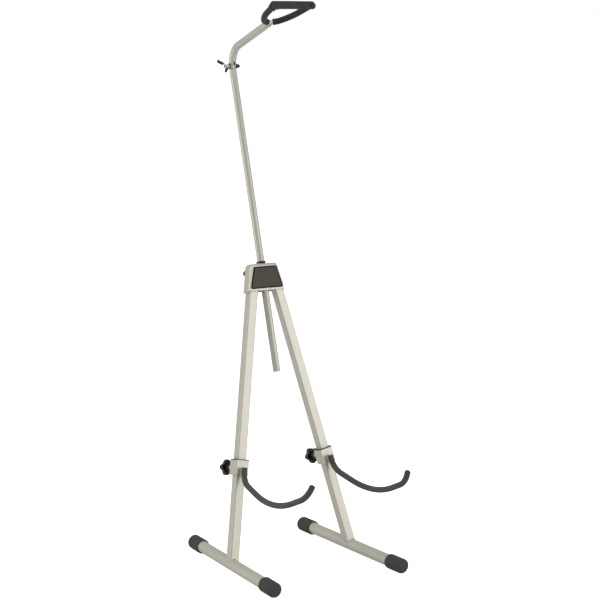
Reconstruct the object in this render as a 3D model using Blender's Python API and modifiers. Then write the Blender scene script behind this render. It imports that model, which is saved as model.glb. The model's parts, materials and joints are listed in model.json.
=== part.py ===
"""Floor stand for a cello or a double bass.

An A-frame of two square legs hinged in a head bracket, each leg welded to a
round foot tube with rubber caps.  A padded cradle arm slides on each leg and is
clamped from behind.  A round rod slides through the head and carries, on a
tilting joint, a bent neck arm that ends in a padded yoke closed by a strap.

Metres, +Z up, front of the stand towards -Y.  Lengths below are millimetres.
"""

from math import atan2, cos, pi, radians, sin, tan

import bmesh
import bpy
from mathutils import Matrix, Vector

MM = 0.001
GAP = 0.3                      # clearance between neighbouring pieces

# ---- stance ---------------------------------------------------------------
ORIGIN_Y = -3.5                # puts the middle of the outline over the origin
LEAN = radians(11.95)          # leg plane leans back
SPREAD = radians(11.46)        # each leg away from the middle
FOOT_HALF = 175.4              # foot tube from the middle, on the floor
FOOT_R = 15.0                  # foot tube
CAP_R = 19.0                   # rubber foot cap
CAP_FLAT = 0.4                 # moulded flat under the cap
FOOT_Z = CAP_R - CAP_FLAT
FOOT_FRONT = 234.5             # cap end in front of the leg
FOOT_BACK = 227.5              # cap end behind the leg
CAP_LEN = 56.0
CAP_END = 5.0                  # thickness of the cap's closed end
TUBE_WALL = 1.5

# ---- legs and head --------------------------------------------------------
LEG = 25.0                     # square tube
LEG_CORNER = 3.0
U_PIVOT = 711.0                # leg pivots, up the leg plane from the foot axis
PIN_R = 4.0
HEAD_TOP, HEAD_LOW = 750.0, 677.0
FACE_TOP, FACE_LOW = 745.0, 680.0
BACK_HALF_TOP, BACK_HALF_LOW = 39.2, 54.8
FACE_HALF_TOP, FACE_HALF_LOW = 37.4, 52.4
HEAD_BACK, HEAD_SEAM, HEAD_FACE = 18.0, 7.0, 15.0   # from the leg plane
SHELL = 2.0
SHEET = 1.6
PLATE = dict(top=742.0, low=685.6, half_top=32.8, half_low=48.3, thick=2.4)
U_LOCK = 730.0

# ---- rod ------------------------------------------------------------------
ROD_LEAN = radians(16.62)
ROD_R = 9.5
ROD_LOW = -242.0               # rod's lower end, from the crossing with the leg plane
ROD_HINGE = 562.6              # tilting joint, from the same point
HINGE_GAP = 10.8

# ---- clamps and cradle arms ------------------------------------------------
CLAMP_LOW, CLAMP_TOP = 224.0, 262.0
SLEEVE_W, SLEEVE_D = 37.0, 35.0
SLEEVE_IN = 31.0
LINER_OUT, LINER_IN = 30.4, 25.4
ARM_TOP = 243.5
ARM_OFF = 28.3                 # arm's upright part in front of the leg's axis
ARM_R, COVER_R = 5.0, 7.5
ARM_BENDS = ((8.1, 43.0, 67.0), (47.8, 302.0, 35.2), (38.5, 84.0, 40.9), (4.5, 0.0, 0.0))

# ---- star knobs ------------------------------------------------------------
KNOB_R, KNOB_WAVE, KNOB_LOBES = 17.6, 3.4, 5
KNOB_NEAR, KNOB_FAR = 55.0, 69.0
SCREW_R = 4.0

# ---- neck arm and yoke -----------------------------------------------------
ARM_TILT = radians(9.6)        # lower end of the neck arm leans forward
NECK_R = 9.5
NECK_BEND_R, NECK_BEND = 45.0, radians(60.4)
NECK_LOW, NECK_LONG = 19.0, 175.0
YOKE_R, PAD_R = 5.0, 7.75
YOKE_BENDS = ((0.0, 28.0, 58.0), (0.0, 150.0, 24.0), (46.0, 0.0, 0.0))
PAD_START = 7.0
STRAP_HALF, STRAP_END, STRAP_H, STRAP_T = 51.5, 54.0, 20.4, 3.0
STRAP_AT = 119.9
WING_ANGLE = radians(29.5)


# ---------------------------------------------------------------------------
def clear_scene():
    for ob in list(bpy.data.objects):
        bpy.data.objects.remove(ob, do_unlink=True)
    for block in (bpy.data.meshes, bpy.data.curves, bpy.data.materials):
        for item in list(block):
            block.remove(item)
    for coll in list(bpy.data.collections):
        bpy.data.collections.remove(coll)


clear_scene()
PARTS = bpy.data.collections.new("cello_floor_stand")
CUTTERS = bpy.data.collections.new("cutters")
for c in (PARTS, CUTTERS):
    bpy.context.scene.collection.children.link(c)


def material(name, rgb, rough, metal=0.0):
    m = bpy.data.materials.new(name)
    m.use_nodes = True
    b = m.node_tree.nodes["Principled BSDF"]
    b.inputs["Base Color"].default_value = (*rgb, 1.0)
    b.inputs["Roughness"].default_value = rough
    b.inputs["Metallic"].default_value = metal
    m.diffuse_color = (*rgb, 1.0)
    return m


SILVER = (0.60, 0.585, 0.53)
BLACK = (0.02, 0.02, 0.02)
RUBBER = (0.06, 0.06, 0.058)
STEEL = (0.62, 0.61, 0.58)
PLATE_GREY = (0.08, 0.074, 0.062)


def frame(origin, x, z):
    """Right-handed frame from an origin and two axes, in millimetres."""
    x, z = Vector(x).normalized(), Vector(z).normalized()
    y = z.cross(x).normalized()
    x = y.cross(z)
    m = Matrix((x, y, z)).transposed().to_4x4()
    m.translation = Vector(origin) * MM
    return m


def empty(name, matrix):
    e = bpy.data.objects.new(name, None)
    e.empty_display_size = 0.03
    PARTS.objects.link(e)
    e.matrix_world = matrix
    return e


def put(ob, parent, loc=(0, 0, 0), rot=None, mat=None, cutter=False):
    """Parents an object to a frame empty and places it there."""
    for c in list(ob.users_collection):
        c.objects.unlink(ob)
    (CUTTERS if cutter else PARTS).objects.link(ob)
    if parent is not None:
        ob.parent = parent
    ob.location = Vector(loc) * MM
    if rot is not None:
        ob.rotation_euler = rot.to_euler()
    if cutter:
        ob.hide_render = True
        ob.display_type = "WIRE"
    elif mat is not None:
        ob.data.materials.clear()
        ob.data.materials.append(material(ob.name + "_finish", *mat))
    return ob


def update():
    bpy.context.view_layer.update()


def smooth(me, angle=35.0):
    me.shade_smooth()
    me.set_sharp_from_angle(angle=radians(angle))


def as_mesh(ob, angle=35.0):
    """Replaces a curve object by its evaluated mesh, with welded caps."""
    update()
    name = ob.name
    me = bpy.data.meshes.new_from_object(ob.evaluated_get(bpy.context.evaluated_depsgraph_get()))
    bm = bmesh.new()
    bm.from_mesh(me)
    bmesh.ops.remove_doubles(bm, verts=bm.verts, dist=1e-6)
    bmesh.ops.recalc_face_normals(bm, faces=bm.faces)
    bm.to_mesh(me)
    bm.free()
    coll, parent, hidden = ob.users_collection[0], ob.parent, ob.hide_render
    world, display = ob.matrix_world.copy(), ob.display_type
    mats = [m for m in ob.data.materials]
    bpy.data.objects.remove(ob, do_unlink=True)
    new = bpy.data.objects.new(name, me)
    coll.objects.link(new)
    new.parent = parent
    update()
    new.matrix_world = world
    new.hide_render, new.display_type = hidden, display
    me.materials.clear()
    for m in mats:
        me.materials.append(m)
    smooth(me, angle)
    return new


def boolean(ob, cutter, op="DIFFERENCE"):
    m = ob.modifiers.new(op.lower(), "BOOLEAN")
    m.operation, m.solver, m.object = op, "EXACT", cutter
    return m


def bevel(ob, width, segments=2, angle=30.0):
    m = ob.modifiers.new("bevel", "BEVEL")
    m.width, m.segments = width * MM, segments
    m.limit_method, m.angle_limit = "ANGLE", radians(angle)
    return m


TO_BACK = Matrix.Rotation(radians(-90), 3, "X")    # local Z to the frame's +Y
TO_FRONT = Matrix.Rotation(radians(90), 3, "X")    # local Z to -Y, local Y to +Z
TO_RIGHT = Matrix.Rotation(radians(90), 3, "Y")    # local Z to +X
TO_LEFT = Matrix.Rotation(radians(-90), 3, "Y")    # local Z to -X


def turned(name, profile, parent, loc=(0, 0, 0), rot=None, mat=None, steps=32,
           closed=False, cutter=False):
    """Profile of (radius, height), down the outer side, turned about local Z."""
    me = bpy.data.meshes.new(name)
    n = len(profile)
    edges = [(i, i + 1) for i in range(n - 1)] + ([(n - 1, 0)] if closed else [])
    me.from_pydata([(r * MM, 0.0, z * MM) for r, z in profile], edges, [])
    ob = bpy.data.objects.new(name, me)
    s = ob.modifiers.new("screw", "SCREW")
    s.axis, s.angle = "Z", 2 * pi
    s.steps = s.render_steps = steps
    s.use_merge_vertices, s.merge_threshold = True, 1e-6
    s.use_smooth_shade = True
    return put(ob, parent, loc, rot, mat, cutter)


def ring(r_out, r_in, z0, z1, edge=0.0):
    """Closed profile of a ring, its outer edges rounded off by a small chamfer."""
    e = edge
    top = [(r_out - e, z1), (r_out, z1 - e)] if e else [(r_out, z1)]
    low = [(r_out, z0 + e), (r_out - e, z0)] if e else [(r_out, z0)]
    return top + low + [(r_in, z0), (r_in, z1)]


def disc(r, z0, z1, edge=0.0):
    e = edge
    top = [(0, z1), (r - e, z1), (r, z1 - e)] if e else [(0, z1), (r, z1)]
    low = [(r, z0 + e), (r - e, z0), (0, z0)] if e else [(r, z0), (0, z0)]
    return top + low


def rounded(corners, radii, seg=4):
    """Polygon with its corners replaced by arcs."""
    pts, n = [], len(corners)
    for i, (p, r) in enumerate(zip(corners, radii)):
        p = Vector(p)
        a = (Vector(corners[i - 1]) - p).normalized()
        b = (Vector(corners[(i + 1) % n]) - p).normalized()
        if r <= 0:
            pts.append((p.x, p.y))
            continue
        half = a.angle(b) / 2
        c = p + (a + b).normalized() * (r / sin(half))
        s, e = p + a * (r / tan(half)) - c, p + b * (r / tan(half)) - c
        a0, a1 = atan2(s.y, s.x), atan2(e.y, e.x)
        d = (a1 - a0 + pi) % (2 * pi) - pi
        pts += [(c.x + r * cos(a0 + d * k / seg), c.y + r * sin(a0 + d * k / seg)) for k in range(seg + 1)]
    return pts


def prism(name, loops, z0, z1, parent, loc=(0, 0, 0), rot=None, mat=None, cutter=False, mesh=True):
    """Flat outline (and inner outlines) given a thickness from z0 to z1."""
    cu = bpy.data.curves.new(name, "CURVE")
    cu.dimensions, cu.fill_mode = "2D", "BOTH"
    cu.extrude = (z1 - z0) / 2 * MM
    for loop in loops:
        sp = cu.splines.new("POLY")
        sp.points.add(len(loop) - 1)
        for q, (x, y) in zip(sp.points, loop):
            q.co = (x * MM, y * MM, 0.0, 1.0)
        sp.use_cyclic_u = True
    ob = bpy.data.objects.new(name, cu)
    shift = Vector((0, 0, (z0 + z1) / 2))
    if rot is not None:
        shift = rot @ shift
    put(ob, parent, Vector(loc) + shift, rot, mat, cutter)
    return as_mesh(ob, 30.0) if mesh else ob


def rail(name, points, radius, parent, mat=None, resolution=3, cutter=False):
    """Round bar along a line of points."""
    cu = bpy.data.curves.new(name, "CURVE")
    cu.dimensions = "3D"
    cu.bevel_depth, cu.bevel_resolution, cu.use_fill_caps = radius * MM, resolution, True
    sp = cu.splines.new("POLY")
    sp.points.add(len(points) - 1)
    for q, p in zip(sp.points, points):
        q.co = (p[0] * MM, p[1] * MM, p[2] * MM, 1.0)
    ob = bpy.data.objects.new(name, cu)
    put(ob, parent, (0, 0, 0), None, mat, cutter)
    return as_mesh(ob, 50.0)


def block(name, size, parent, loc=(0, 0, 0), rot=None, mat=None, edge=0.0, cutter=False):
    me = bpy.data.meshes.new(name)
    bm = bmesh.new()
    bmesh.ops.create_cube(bm, size=1.0)
    bmesh.ops.scale(bm, vec=Vector(size) * MM, verts=bm.verts)
    bm.to_mesh(me)
    bm.free()
    ob = put(bpy.data.objects.new(name, me), parent, loc, rot, mat, cutter)
    if edge:
        bevel(ob, edge)
    return ob


def loft(name, low, high, z0, z1, parent, rot=None, mat=None, cutter=False):
    """Solid between two unlike outlines with the same number of points."""
    me = bpy.data.meshes.new(name)
    bm = bmesh.new()
    a = [bm.verts.new((x * MM, y * MM, z0 * MM)) for x, y in low]
    b = [bm.verts.new((x * MM, y * MM, z1 * MM)) for x, y in high]
    n = len(a)
    for i in range(n):
        p, q, r, s = a[i], a[(i + 1) % n], b[(i + 1) % n], b[i]
        if p.co.x + q.co.x > 0:
            bm.faces.new((p, q, r))
            bm.faces.new((p, r, s))
        else:
            bm.faces.new((p, q, s))
            bm.faces.new((q, r, s))
    bm.faces.new(a[::-1])
    bm.faces.new(b)
    bmesh.ops.recalc_face_normals(bm, faces=bm.faces)
    bm.to_mesh(me)
    bm.free()
    return put(bpy.data.objects.new(name, me), parent, (0, 0, 0), rot, mat, cutter)


def bends(spec, step=11.5):
    """Plane path of (straight, bend radius, bend degrees); starts at 0,0 along +a.

    Returns points (a, b), turning from a towards b."""
    a = b = ang = 0.0
    pts = [(0.0, 0.0)]
    for length, radius, turn in spec:
        if length > 0:
            a, b = a + length * cos(ang), b + length * sin(ang)
            pts.append((a, b))
        if radius > 0 and turn:
            k = max(3, round(abs(turn) / step), round(radius * radians(abs(turn)) / 40.0))
            d = radians(turn) / k
            chord = 2 * radius * sin(abs(d) / 2)
            for _ in range(k):
                a, b = a + chord * cos(ang + d / 2), b + chord * sin(ang + d / 2)
                ang += d
                pts.append((a, b))
    return pts


def along(path, start, end):
    """Part of a polyline between two lengths along it."""
    out, run = [], 0.0
    for p, q in zip(path, path[1:]):
        p, q = Vector(p), Vector(q)
        seg = (q - p).length
        s0, s1 = max(start, run), min(end, run + seg)
        if s1 - s0 > 1e-6:
            if not out:
                out.append(p + (q - p) * ((s0 - run) / seg))
            out.append(p + (q - p) * ((s1 - run) / seg))
        run += seg
    return out


def path_length(path):
    return sum((Vector(q) - Vector(p)).length for p, q in zip(path, path[1:]))


# ---- frames ---------------------------------------------------------------
UP = Vector((0, sin(LEAN), cos(LEAN)))             # up the leg plane
FRONT = Vector((0, -cos(LEAN), sin(LEAN)))         # out of the leg plane
FOOT_MID = Vector((0, ORIGIN_Y, FOOT_Z))
CROSS = FOOT_MID + UP * U_PIVOT                    # rod crosses the leg plane here
HEAD = empty("head_frame", frame(CROSS, (1, 0, 0), UP))
ROD_UP = Vector((0, sin(ROD_LEAN), cos(ROD_LEAN)))
ROD = empty("rod_frame", frame(CROSS, (1, 0, 0), ROD_UP))
HINGE_POS = CROSS + ROD_UP * ROD_HINGE
ARM_UP = Vector((0, -sin(ARM_TILT), cos(ARM_TILT)))
ARM = empty("neck_arm_frame", frame(HINGE_POS, (1, 0, 0), ARM_UP))
update()


def trapezoid(half_top, half_low, top, low, r_top, r_low, seg=4, cuts=0):
    """Head outline; 'cuts' adds points along its two slanted sides."""
    pts = rounded([(half_low, low - U_PIVOT), (half_top, top - U_PIVOT), (-half_top, top - U_PIVOT),
                   (-half_low, low - U_PIVOT)], [r_low, r_top, r_top, r_low], seg)
    out = []
    for i, p in enumerate(pts):
        out.append(p)
        if i in (seg, 3 * seg + 2):
            q = pts[i + 1]
            out += [(p[0] + (q[0] - p[0]) * k / (cuts + 1), p[1] + (q[1] - p[1]) * k / (cuts + 1))
                    for k in range(1, cuts + 1)]
    return out


# ---- head bracket -----------------------------------------------------------
def half_at(u, top, low, half_top, half_low):
    return half_low + (u - low) * (half_top - half_low) / (top - low)


silver = (SILVER, 0.36, 0.75)
black = (BLACK, 0.5)
rubber = (RUBBER, 0.75)
steel = (STEEL, 0.3, 1.0)

OPEN_LOW = 655.0
back_in_low = half_at(OPEN_LOW, HEAD_TOP, HEAD_LOW, BACK_HALF_TOP, BACK_HALF_LOW) - SHELL
face_in_low = half_at(OPEN_LOW, FACE_TOP, FACE_LOW, FACE_HALF_TOP, FACE_HALF_LOW) - SHEET

back_shell = prism("head_back_shell", [trapezoid(BACK_HALF_TOP, BACK_HALF_LOW, HEAD_TOP, HEAD_LOW, 9, 3)],
                   -HEAD_BACK, HEAD_SEAM - GAP, HEAD, rot=TO_FRONT, mat=silver)
bevel(back_shell, 2.5, 2, 60)
back_room = prism("cut_back_room", [trapezoid(BACK_HALF_TOP - SHELL, back_in_low, HEAD_TOP - SHELL, OPEN_LOW, 7, 1)],
                  -HEAD_BACK + SHELL, HEAD_SEAM + 10, HEAD, rot=TO_FRONT, cutter=True)
boolean(back_shell, back_room)

front_shell = loft("head_front_shell",
                   trapezoid(BACK_HALF_TOP, BACK_HALF_LOW, HEAD_TOP, HEAD_LOW, 9, 3, cuts=3),
                   trapezoid(FACE_HALF_TOP, FACE_HALF_LOW, FACE_TOP, FACE_LOW, 6, 4, cuts=3),
                   HEAD_SEAM, HEAD_FACE, HEAD, rot=TO_FRONT, mat=silver)
front_room = loft("cut_front_room",
                  trapezoid(BACK_HALF_TOP - SHEET, back_in_low, HEAD_TOP - SHEET, OPEN_LOW, 7.4, 1, cuts=5),
                  trapezoid(FACE_HALF_TOP - SHEET, face_in_low + 0.6, FACE_TOP - SHEET, OPEN_LOW, 4.4, 1, cuts=5),
                  HEAD_SEAM - 1.0, HEAD_FACE - SHEET, HEAD, rot=TO_FRONT, cutter=True)
boolean(front_shell, front_room)

cover = prism("head_cover_plate",
              [trapezoid(PLATE["half_top"], PLATE["half_low"], PLATE["top"], PLATE["low"], 5, 5)],
              HEAD_FACE + GAP, HEAD_FACE + GAP + PLATE["thick"], HEAD, rot=TO_FRONT,
              mat=(PLATE_GREY, 0.45))
bevel(cover, 0.8, 2)

# rod hole in the top, guided by an upper bush and a lower saddle
bush_hole = turned("cut_bush_hole", disc(11.2, 20, 60), ROD, steps=24, cutter=True)
for shell in (back_shell, front_shell):
    boolean(shell, bush_hole)
BUSH_TOP = (HEAD_TOP - U_PIVOT) / cos(ROD_LEAN - LEAN)
turned("head_upper_bush",
       [(11.4, BUSH_TOP + 5.2), (12.2, BUSH_TOP + 4.2), (12.2, BUSH_TOP + 1.4), (10.9, BUSH_TOP + 1.4),
        (10.9, BUSH_TOP - 9), (9.6, BUSH_TOP - 9), (9.6, BUSH_TOP + 5.2)],
       ROD, mat=black, steps=24, closed=True)
saddle = block("head_lower_saddle", (28, 21.5, 12), HEAD, (0, 4.85, 690 - U_PIVOT), mat=black, edge=0.6)
saddle_bore = turned("cut_saddle_bore", disc(9.9, -50, 5), ROD, steps=24, cutter=True)
boolean(saddle, saddle_bore)

# lock screw for the rod, through a nut welded on the back
LOCK_Z = U_LOCK - U_PIVOT
lock_hole = turned("cut_lock_hole", disc(SCREW_R + 0.6, 10, 30), HEAD, (0, 0, LOCK_Z), TO_BACK, steps=16, cutter=True)
boolean(back_shell, lock_hole)
turned("head_lock_nut", ring(9.0, SCREW_R + GAP, HEAD_BACK + GAP, 30, 1.2), HEAD, (0, 0, LOCK_Z), TO_BACK,
       mat=silver, steps=16, closed=True)


def star(theta, phase, shrink=0.0):
    r = KNOB_R + KNOB_WAVE * cos(KNOB_LOBES * (theta - phase)) - shrink
    return r * cos(theta), r * sin(theta)


def stack(name, rings, parent, loc, rot, mat):
    """Solid lofted through unlike rings of (points, height), closed by a fan at each end."""
    me = bpy.data.meshes.new(name)
    bm = bmesh.new()
    rows = [[bm.verts.new((x * MM, y * MM, z * MM)) for x, y in pts] for pts, z in rings]
    n = len(rows[0])
    for a, b in zip(rows, rows[1:]):
        for i in range(n):
            bm.faces.new((a[i], a[(i + 1) % n], b[(i + 1) % n], b[i]))
    for row, z in ((rows[0], rings[0][1]), (rows[-1], rings[-1][1])):
        mid = bm.verts.new((0, 0, z * MM))
        for i in range(n):
            bm.faces.new((row[i], row[(i + 1) % n], mid))
    bmesh.ops.recalc_face_normals(bm, faces=bm.faces)
    bm.to_mesh(me)
    bm.free()
    smooth(me)
    return put(bpy.data.objects.new(name, me), parent, loc, rot, mat)


def star_knob(name, parent, loc, tip, phase):
    """Five-lobed hand knob, hollow round its hub on the side towards the clamp, and its screw.

    Local Z runs backwards from the leg; the screw's tip is at 'tip'."""
    n = 30
    angles = [2 * pi * k / n for k in range(n)]

    def lobes(shrink):
        return [star(t, phase, shrink) for t in angles]

    def circle(r):
        return [(r * cos(t), r * sin(t)) for t in angles]

    e, hub, bore = 1.8, 8.6, SCREW_R + GAP
    stack(name, [(lobes(e), KNOB_FAR), (lobes(0), KNOB_FAR - e), (lobes(0), KNOB_NEAR + e),
                 (lobes(1.2), KNOB_NEAR), (lobes(3.0), KNOB_NEAR), (lobes(3.0), KNOB_FAR - 3.2),
                 (circle(hub), KNOB_FAR - 3.2), (circle(hub), KNOB_NEAR - 5), (circle(bore), KNOB_NEAR - 5),
                 (circle(bore), KNOB_NEAR + 8)], parent, loc, TO_BACK, (BLACK, 0.4))
    turned(name + "_screw", disc(SCREW_R, tip, KNOB_NEAR + 7.5), parent, loc, TO_BACK, mat=steel, steps=16)


star_knob("head_knob", HEAD, (0, 0, LOCK_Z), 11.7, pi)


# ---- legs, clamps and cradle arms ------------------------------------------
def side(tag, sd):
    down = (-UP * cos(SPREAD) + Vector((sd, 0, 0)) * sin(SPREAD)).normalized()
    foot = Vector((sd * FOOT_HALF, ORIGIN_Y, FOOT_Z))
    across = Vector((1, 0, 0)) * cos(SPREAD) + UP * sin(SPREAD) * sd
    leg_frame = empty(f"leg_{tag}_frame", frame(foot, across, -down))
    s_pivot = U_PIVOT / cos(SPREAD)

    # pivot pin through the head, a washer behind the leg
    pin_x = sd * (FOOT_HALF - U_PIVOT * tan(SPREAD))
    pin_cut = turned(f"cut_pin_{tag}", disc(PIN_R + 0.1, -25, 25), HEAD, (pin_x, 0, 0), TO_BACK, steps=16,
                     cutter=True)
    for shell in (back_shell, front_shell):
        boolean(shell, pin_cut)
    turned(f"head_pivot_pin_{tag}",
           [(0, HEAD_BACK + GAP + 3.4), (3.5, HEAD_BACK + GAP + 3.0), (5.8, HEAD_BACK + GAP + 1.8),
            (7.0, HEAD_BACK + GAP), (PIN_R, HEAD_BACK + GAP), (PIN_R, -HEAD_FACE + 0.1), (0, -HEAD_FACE + 0.1)],
           HEAD, (pin_x, 0, 0), TO_BACK, mat=steel, steps=16)
    turned(f"head_washer_{tag}", ring(11.0, PIN_R + 0.1, LEG / 2 + GAP, HEAD_BACK - SHELL - GAP),
           HEAD, (pin_x, 0, 0), TO_BACK, mat=black, steps=16, closed=True)

    # square tube, rounded over the pivot, shaped over the foot tube
    h = LEG / 2
    sq = rounded([(h, -h), (h, h), (-h, h), (-h, -h)], [LEG_CORNER] * 4, 2)
    hi = h - TUBE_WALL
    sq_in = rounded([(hi, -hi), (hi, hi), (-hi, hi), (-hi, -hi)], [LEG_CORNER - TUBE_WALL] * 4, 2)
    leg = prism(f"leg_{tag}_tube", [sq, sq_in], -8, s_pivot + h, leg_frame, mat=silver)
    end = [(h + 2, -30), (h + 2, s_pivot)]
    end += [((h + 0.02) * cos(pi * k / 12), s_pivot + (h + 0.02) * sin(pi * k / 12)) for k in range(13)]
    end += [(-h - 2, s_pivot), (-h - 2, -30)]
    keep = prism(f"keep_leg_{tag}", [end], -30, 30, leg_frame, rot=TO_FRONT, cutter=True)
    boolean(leg, keep, "INTERSECT")
    leg_pin = turned(f"cut_leg_pin_{tag}", disc(PIN_R + 0.1, -25, 25), leg_frame, (0, 0, s_pivot), TO_BACK,
                     steps=16, cutter=True)
    boolean(leg, leg_pin)

    # foot tube, level, in the plane the leg folds with
    toe = atan2(sin(LEAN) * tan(SPREAD), 1.0)
    ahead = Vector((sd * sin(toe), -cos(toe), 0))
    foot_frame = empty(f"foot_{tag}_frame", frame(foot, (0, 0, 1), ahead))
    cope = turned(f"cut_cope_{tag}", disc(FOOT_R + GAP, -60, 60), foot_frame, steps=24, cutter=True)
    boolean(leg, cope)
    under = block(f"cut_under_{tag}", (80, 80, 30), None, (foot.x, foot.y, FOOT_Z - 15), cutter=True)
    boolean(leg, under)
    z0, z1 = -(FOOT_BACK - CAP_END - GAP), FOOT_FRONT - CAP_END - GAP
    turned(f"foot_{tag}_tube", ring(FOOT_R, FOOT_R - TUBE_WALL, z0, z1), foot_frame, mat=silver, steps=24,
           closed=True)

    # rubber caps with a moulded flat underneath
    floor = block(f"cut_floor_{tag}", (200, 700, 40), None, (foot.x, foot.y, -20), cutter=True)
    r, e = CAP_R, 6.0
    nose = [(r - e + e * sin(radians(a)), -e + e * cos(radians(a))) for a in (0, 30, 60, 90)]
    prof = [(0, 0)] + nose + [(r, -CAP_LEN + 1.2), (r - 1.2, -CAP_LEN), (FOOT_R + GAP, -CAP_LEN),
                              (FOOT_R + GAP, -CAP_END), (0, -CAP_END)]
    for end_tag, z, flip in (("front", FOOT_FRONT, 0), ("back", -FOOT_BACK, 180)):
        cap = turned(f"foot_{tag}_cap_{end_tag}", prof, foot_frame, (0, 0, z),
                     Matrix.Rotation(radians(flip), 3, "X"), mat=rubber, steps=24)
        boolean(cap, floor)

    # clamp sleeve with a plastic liner
    w, d, b = SLEEVE_W / 2, SLEEVE_D / 2, SLEEVE_IN / 2
    outer = rounded([(w, -d), (w, d), (-w, d), (-w, -d)], [2.5] * 4, 2)
    inner = rounded([(b, -b), (b, b), (-b, b), (-b, -b)], [1.5] * 4, 1)
    sleeve = prism(f"clamp_{tag}_sleeve", [outer, inner], CLAMP_LOW, CLAMP_TOP, leg_frame, mat=silver)
    lo, li, fw, fd = LINER_OUT / 2, LINER_IN / 2, w + 0.5, d + 0.5
    liner = prism(f"clamp_{tag}_liner",
                  [rounded([(lo, -lo), (lo, lo), (-lo, lo), (-lo, -lo)], [1.2] * 4, 1)],
                  CLAMP_LOW + 0.5, CLAMP_TOP + 1.0, leg_frame, mat=black)
    flange = prism(f"join_liner_{tag}", [rounded([(fw, -fd), (fw, fd), (-fw, fd), (-fw, -fd)], [2.6] * 4, 2)],
                   CLAMP_TOP + GAP, CLAMP_TOP + GAP + 1.3, leg_frame, cutter=True)
    boolean(liner, flange, "UNION")
    run = prism(f"cut_liner_{tag}", [rounded([(li, -li), (li, li), (-li, li), (-li, -li)], [2.7] * 4, 2)],
                CLAMP_LOW - 5, CLAMP_TOP + 10, leg_frame, cutter=True)
    boolean(liner, run)
    mid = (CLAMP_LOW + CLAMP_TOP) / 2
    screw_cut = turned(f"cut_clamp_screw_{tag}", disc(SCREW_R + 0.6, 10, 30), leg_frame, (0, 0, mid), TO_BACK,
                       steps=16, cutter=True)
    boolean(sleeve, screw_cut)
    boolean(liner, screw_cut)
    turned(f"clamp_{tag}_nut", ring(8.5, SCREW_R + GAP, d + GAP, 30, 1.2), leg_frame, (0, 0, mid), TO_BACK,
           mat=silver, steps=16, closed=True)
    star_knob(f"clamp_{tag}_knob", leg_frame, (0, 0, mid), LEG / 2 + 0.4, pi)

    # cradle arm: bent bar in a soft cover, stood off the sleeve by a lug
    top = ARM_TOP
    path2 = bends(ARM_BENDS)
    path = [(0.0, -(ARM_OFF + q), top - p) for p, q in path2]
    total = path_length(path)
    rail(f"arm_{tag}_bar", along(path, 0.6, total - 8.0), ARM_R, leg_frame, mat=steel, resolution=2)
    cover_ob = rail(f"arm_{tag}_cover", along(path, 0.0, total - 2.3), COVER_R, leg_frame,
                    mat=((0.075, 0.073, 0.07), 0.6))
    bore_path = along(path, 0.0, total - 2.3)
    first = Vector(bore_path[0]) - (Vector(bore_path[1]) - Vector(bore_path[0])).normalized() * 3
    last = Vector(bore_path[-1]) + (Vector(bore_path[-1]) - Vector(bore_path[-2])).normalized() * 3
    bore = rail(f"cut_cover_{tag}", [first] + bore_path + [last], ARM_R + GAP, leg_frame, resolution=2, cutter=True)
    boolean(cover_ob, bore)
    lug_top, lug_low = top - 3.0, CLAMP_LOW + 1.5
    slot = block(f"cut_cover_slot_{tag}", (7.0, 12.0, 60), leg_frame, (0, -(ARM_OFF - 8.0), lug_low - 0.4 + 30),
                 cutter=True)
    boolean(cover_ob, slot)
    y_in, y_out = d + GAP, ARM_OFF - ARM_R - GAP
    block(f"arm_{tag}_lug", (6.0, y_out - y_in, lug_top - lug_low), leg_frame,
          (0, -(y_in + y_out) / 2, (lug_top + lug_low) / 2), mat=silver)
    tip, before = Vector(path[-1]), Vector(path[-2])
    tip_frame = empty(f"arm_{tag}_tip", leg_frame.matrix_world @ frame(tip, (1, 0, 0), tip - before))
    turned(f"arm_{tag}_end_plug",
           [(0, 0.4), (5.0, 0.0), (7.3, -1.6), (7.3, -2.0), (4.6, -2.0), (4.6, -7.4), (0, -7.4)],
           tip_frame, mat=black, steps=16)
    return leg_frame


LEG_L = side("left", -1)
LEG_R = side("right", 1)

# ---- rod with its tongue and the hinge bolt ---------------------------------
turned("rod_tube", ring(ROD_R, ROD_R - TUBE_WALL, ROD_LOW, ROD_HINGE - HINGE_GAP), ROD, mat=silver,
       steps=24, closed=True)
tongue = turned("rod_tongue", disc(ROD_R - TUBE_WALL - GAP, -34, -HINGE_GAP + 0.6), ROD, (0, 0, ROD_HINGE),
                mat=steel, steps=20)
flat = [(6.4, -16), (6.4, -10.0), (7.4, -8.5)]
flat += [(8.4 * cos(radians(a)), 8.4 * sin(radians(a))) for a in range(-28, 209, 26)]
flat += [(-7.4, -8.5), (-6.4, -10.0), (-6.4, -16)]
eye = prism("join_tongue", [flat], -2.2, 2.2, ROD, (0, 0, ROD_HINGE),
            Matrix(((0, 0, 1), (1, 0, 0), (0, 1, 0))), cutter=True)
boolean(tongue, eye, "UNION")
BOLT_R = 3.0
bolt_cut = turned("cut_bolt_rod", disc(BOLT_R + 0.1, -30, 30), ROD, (0, 0, ROD_HINGE), TO_RIGHT, steps=16,
                  cutter=True)
boolean(tongue, bolt_cut)
W0 = NECK_R + GAP
W1 = W0 + 2.4
turned("hinge_bolt",
       [(0, W1 + 8.6), (3.6, W1 + 8.4), (4.6, W1 + 7.2), (4.6, W1 + 2.0), (5.6, W1 + 2.0), (5.6, W1 + GAP),
        (BOLT_R, W1 + GAP), (BOLT_R, -W1 - 11.1), (0, -W1 - 11.1)],
       ROD, (0, 0, ROD_HINGE), TO_RIGHT, mat=((0.05, 0.045, 0.045), 0.35, 0.6), steps=16)
for tag, rot in (("left", TO_LEFT), ("right", TO_RIGHT)):
    turned(f"hinge_washer_{tag}", ring(7.2, BOLT_R + GAP, W0, W1), ROD, (0, 0, ROD_HINGE), rot,
           mat=black, steps=20, closed=True)

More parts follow.
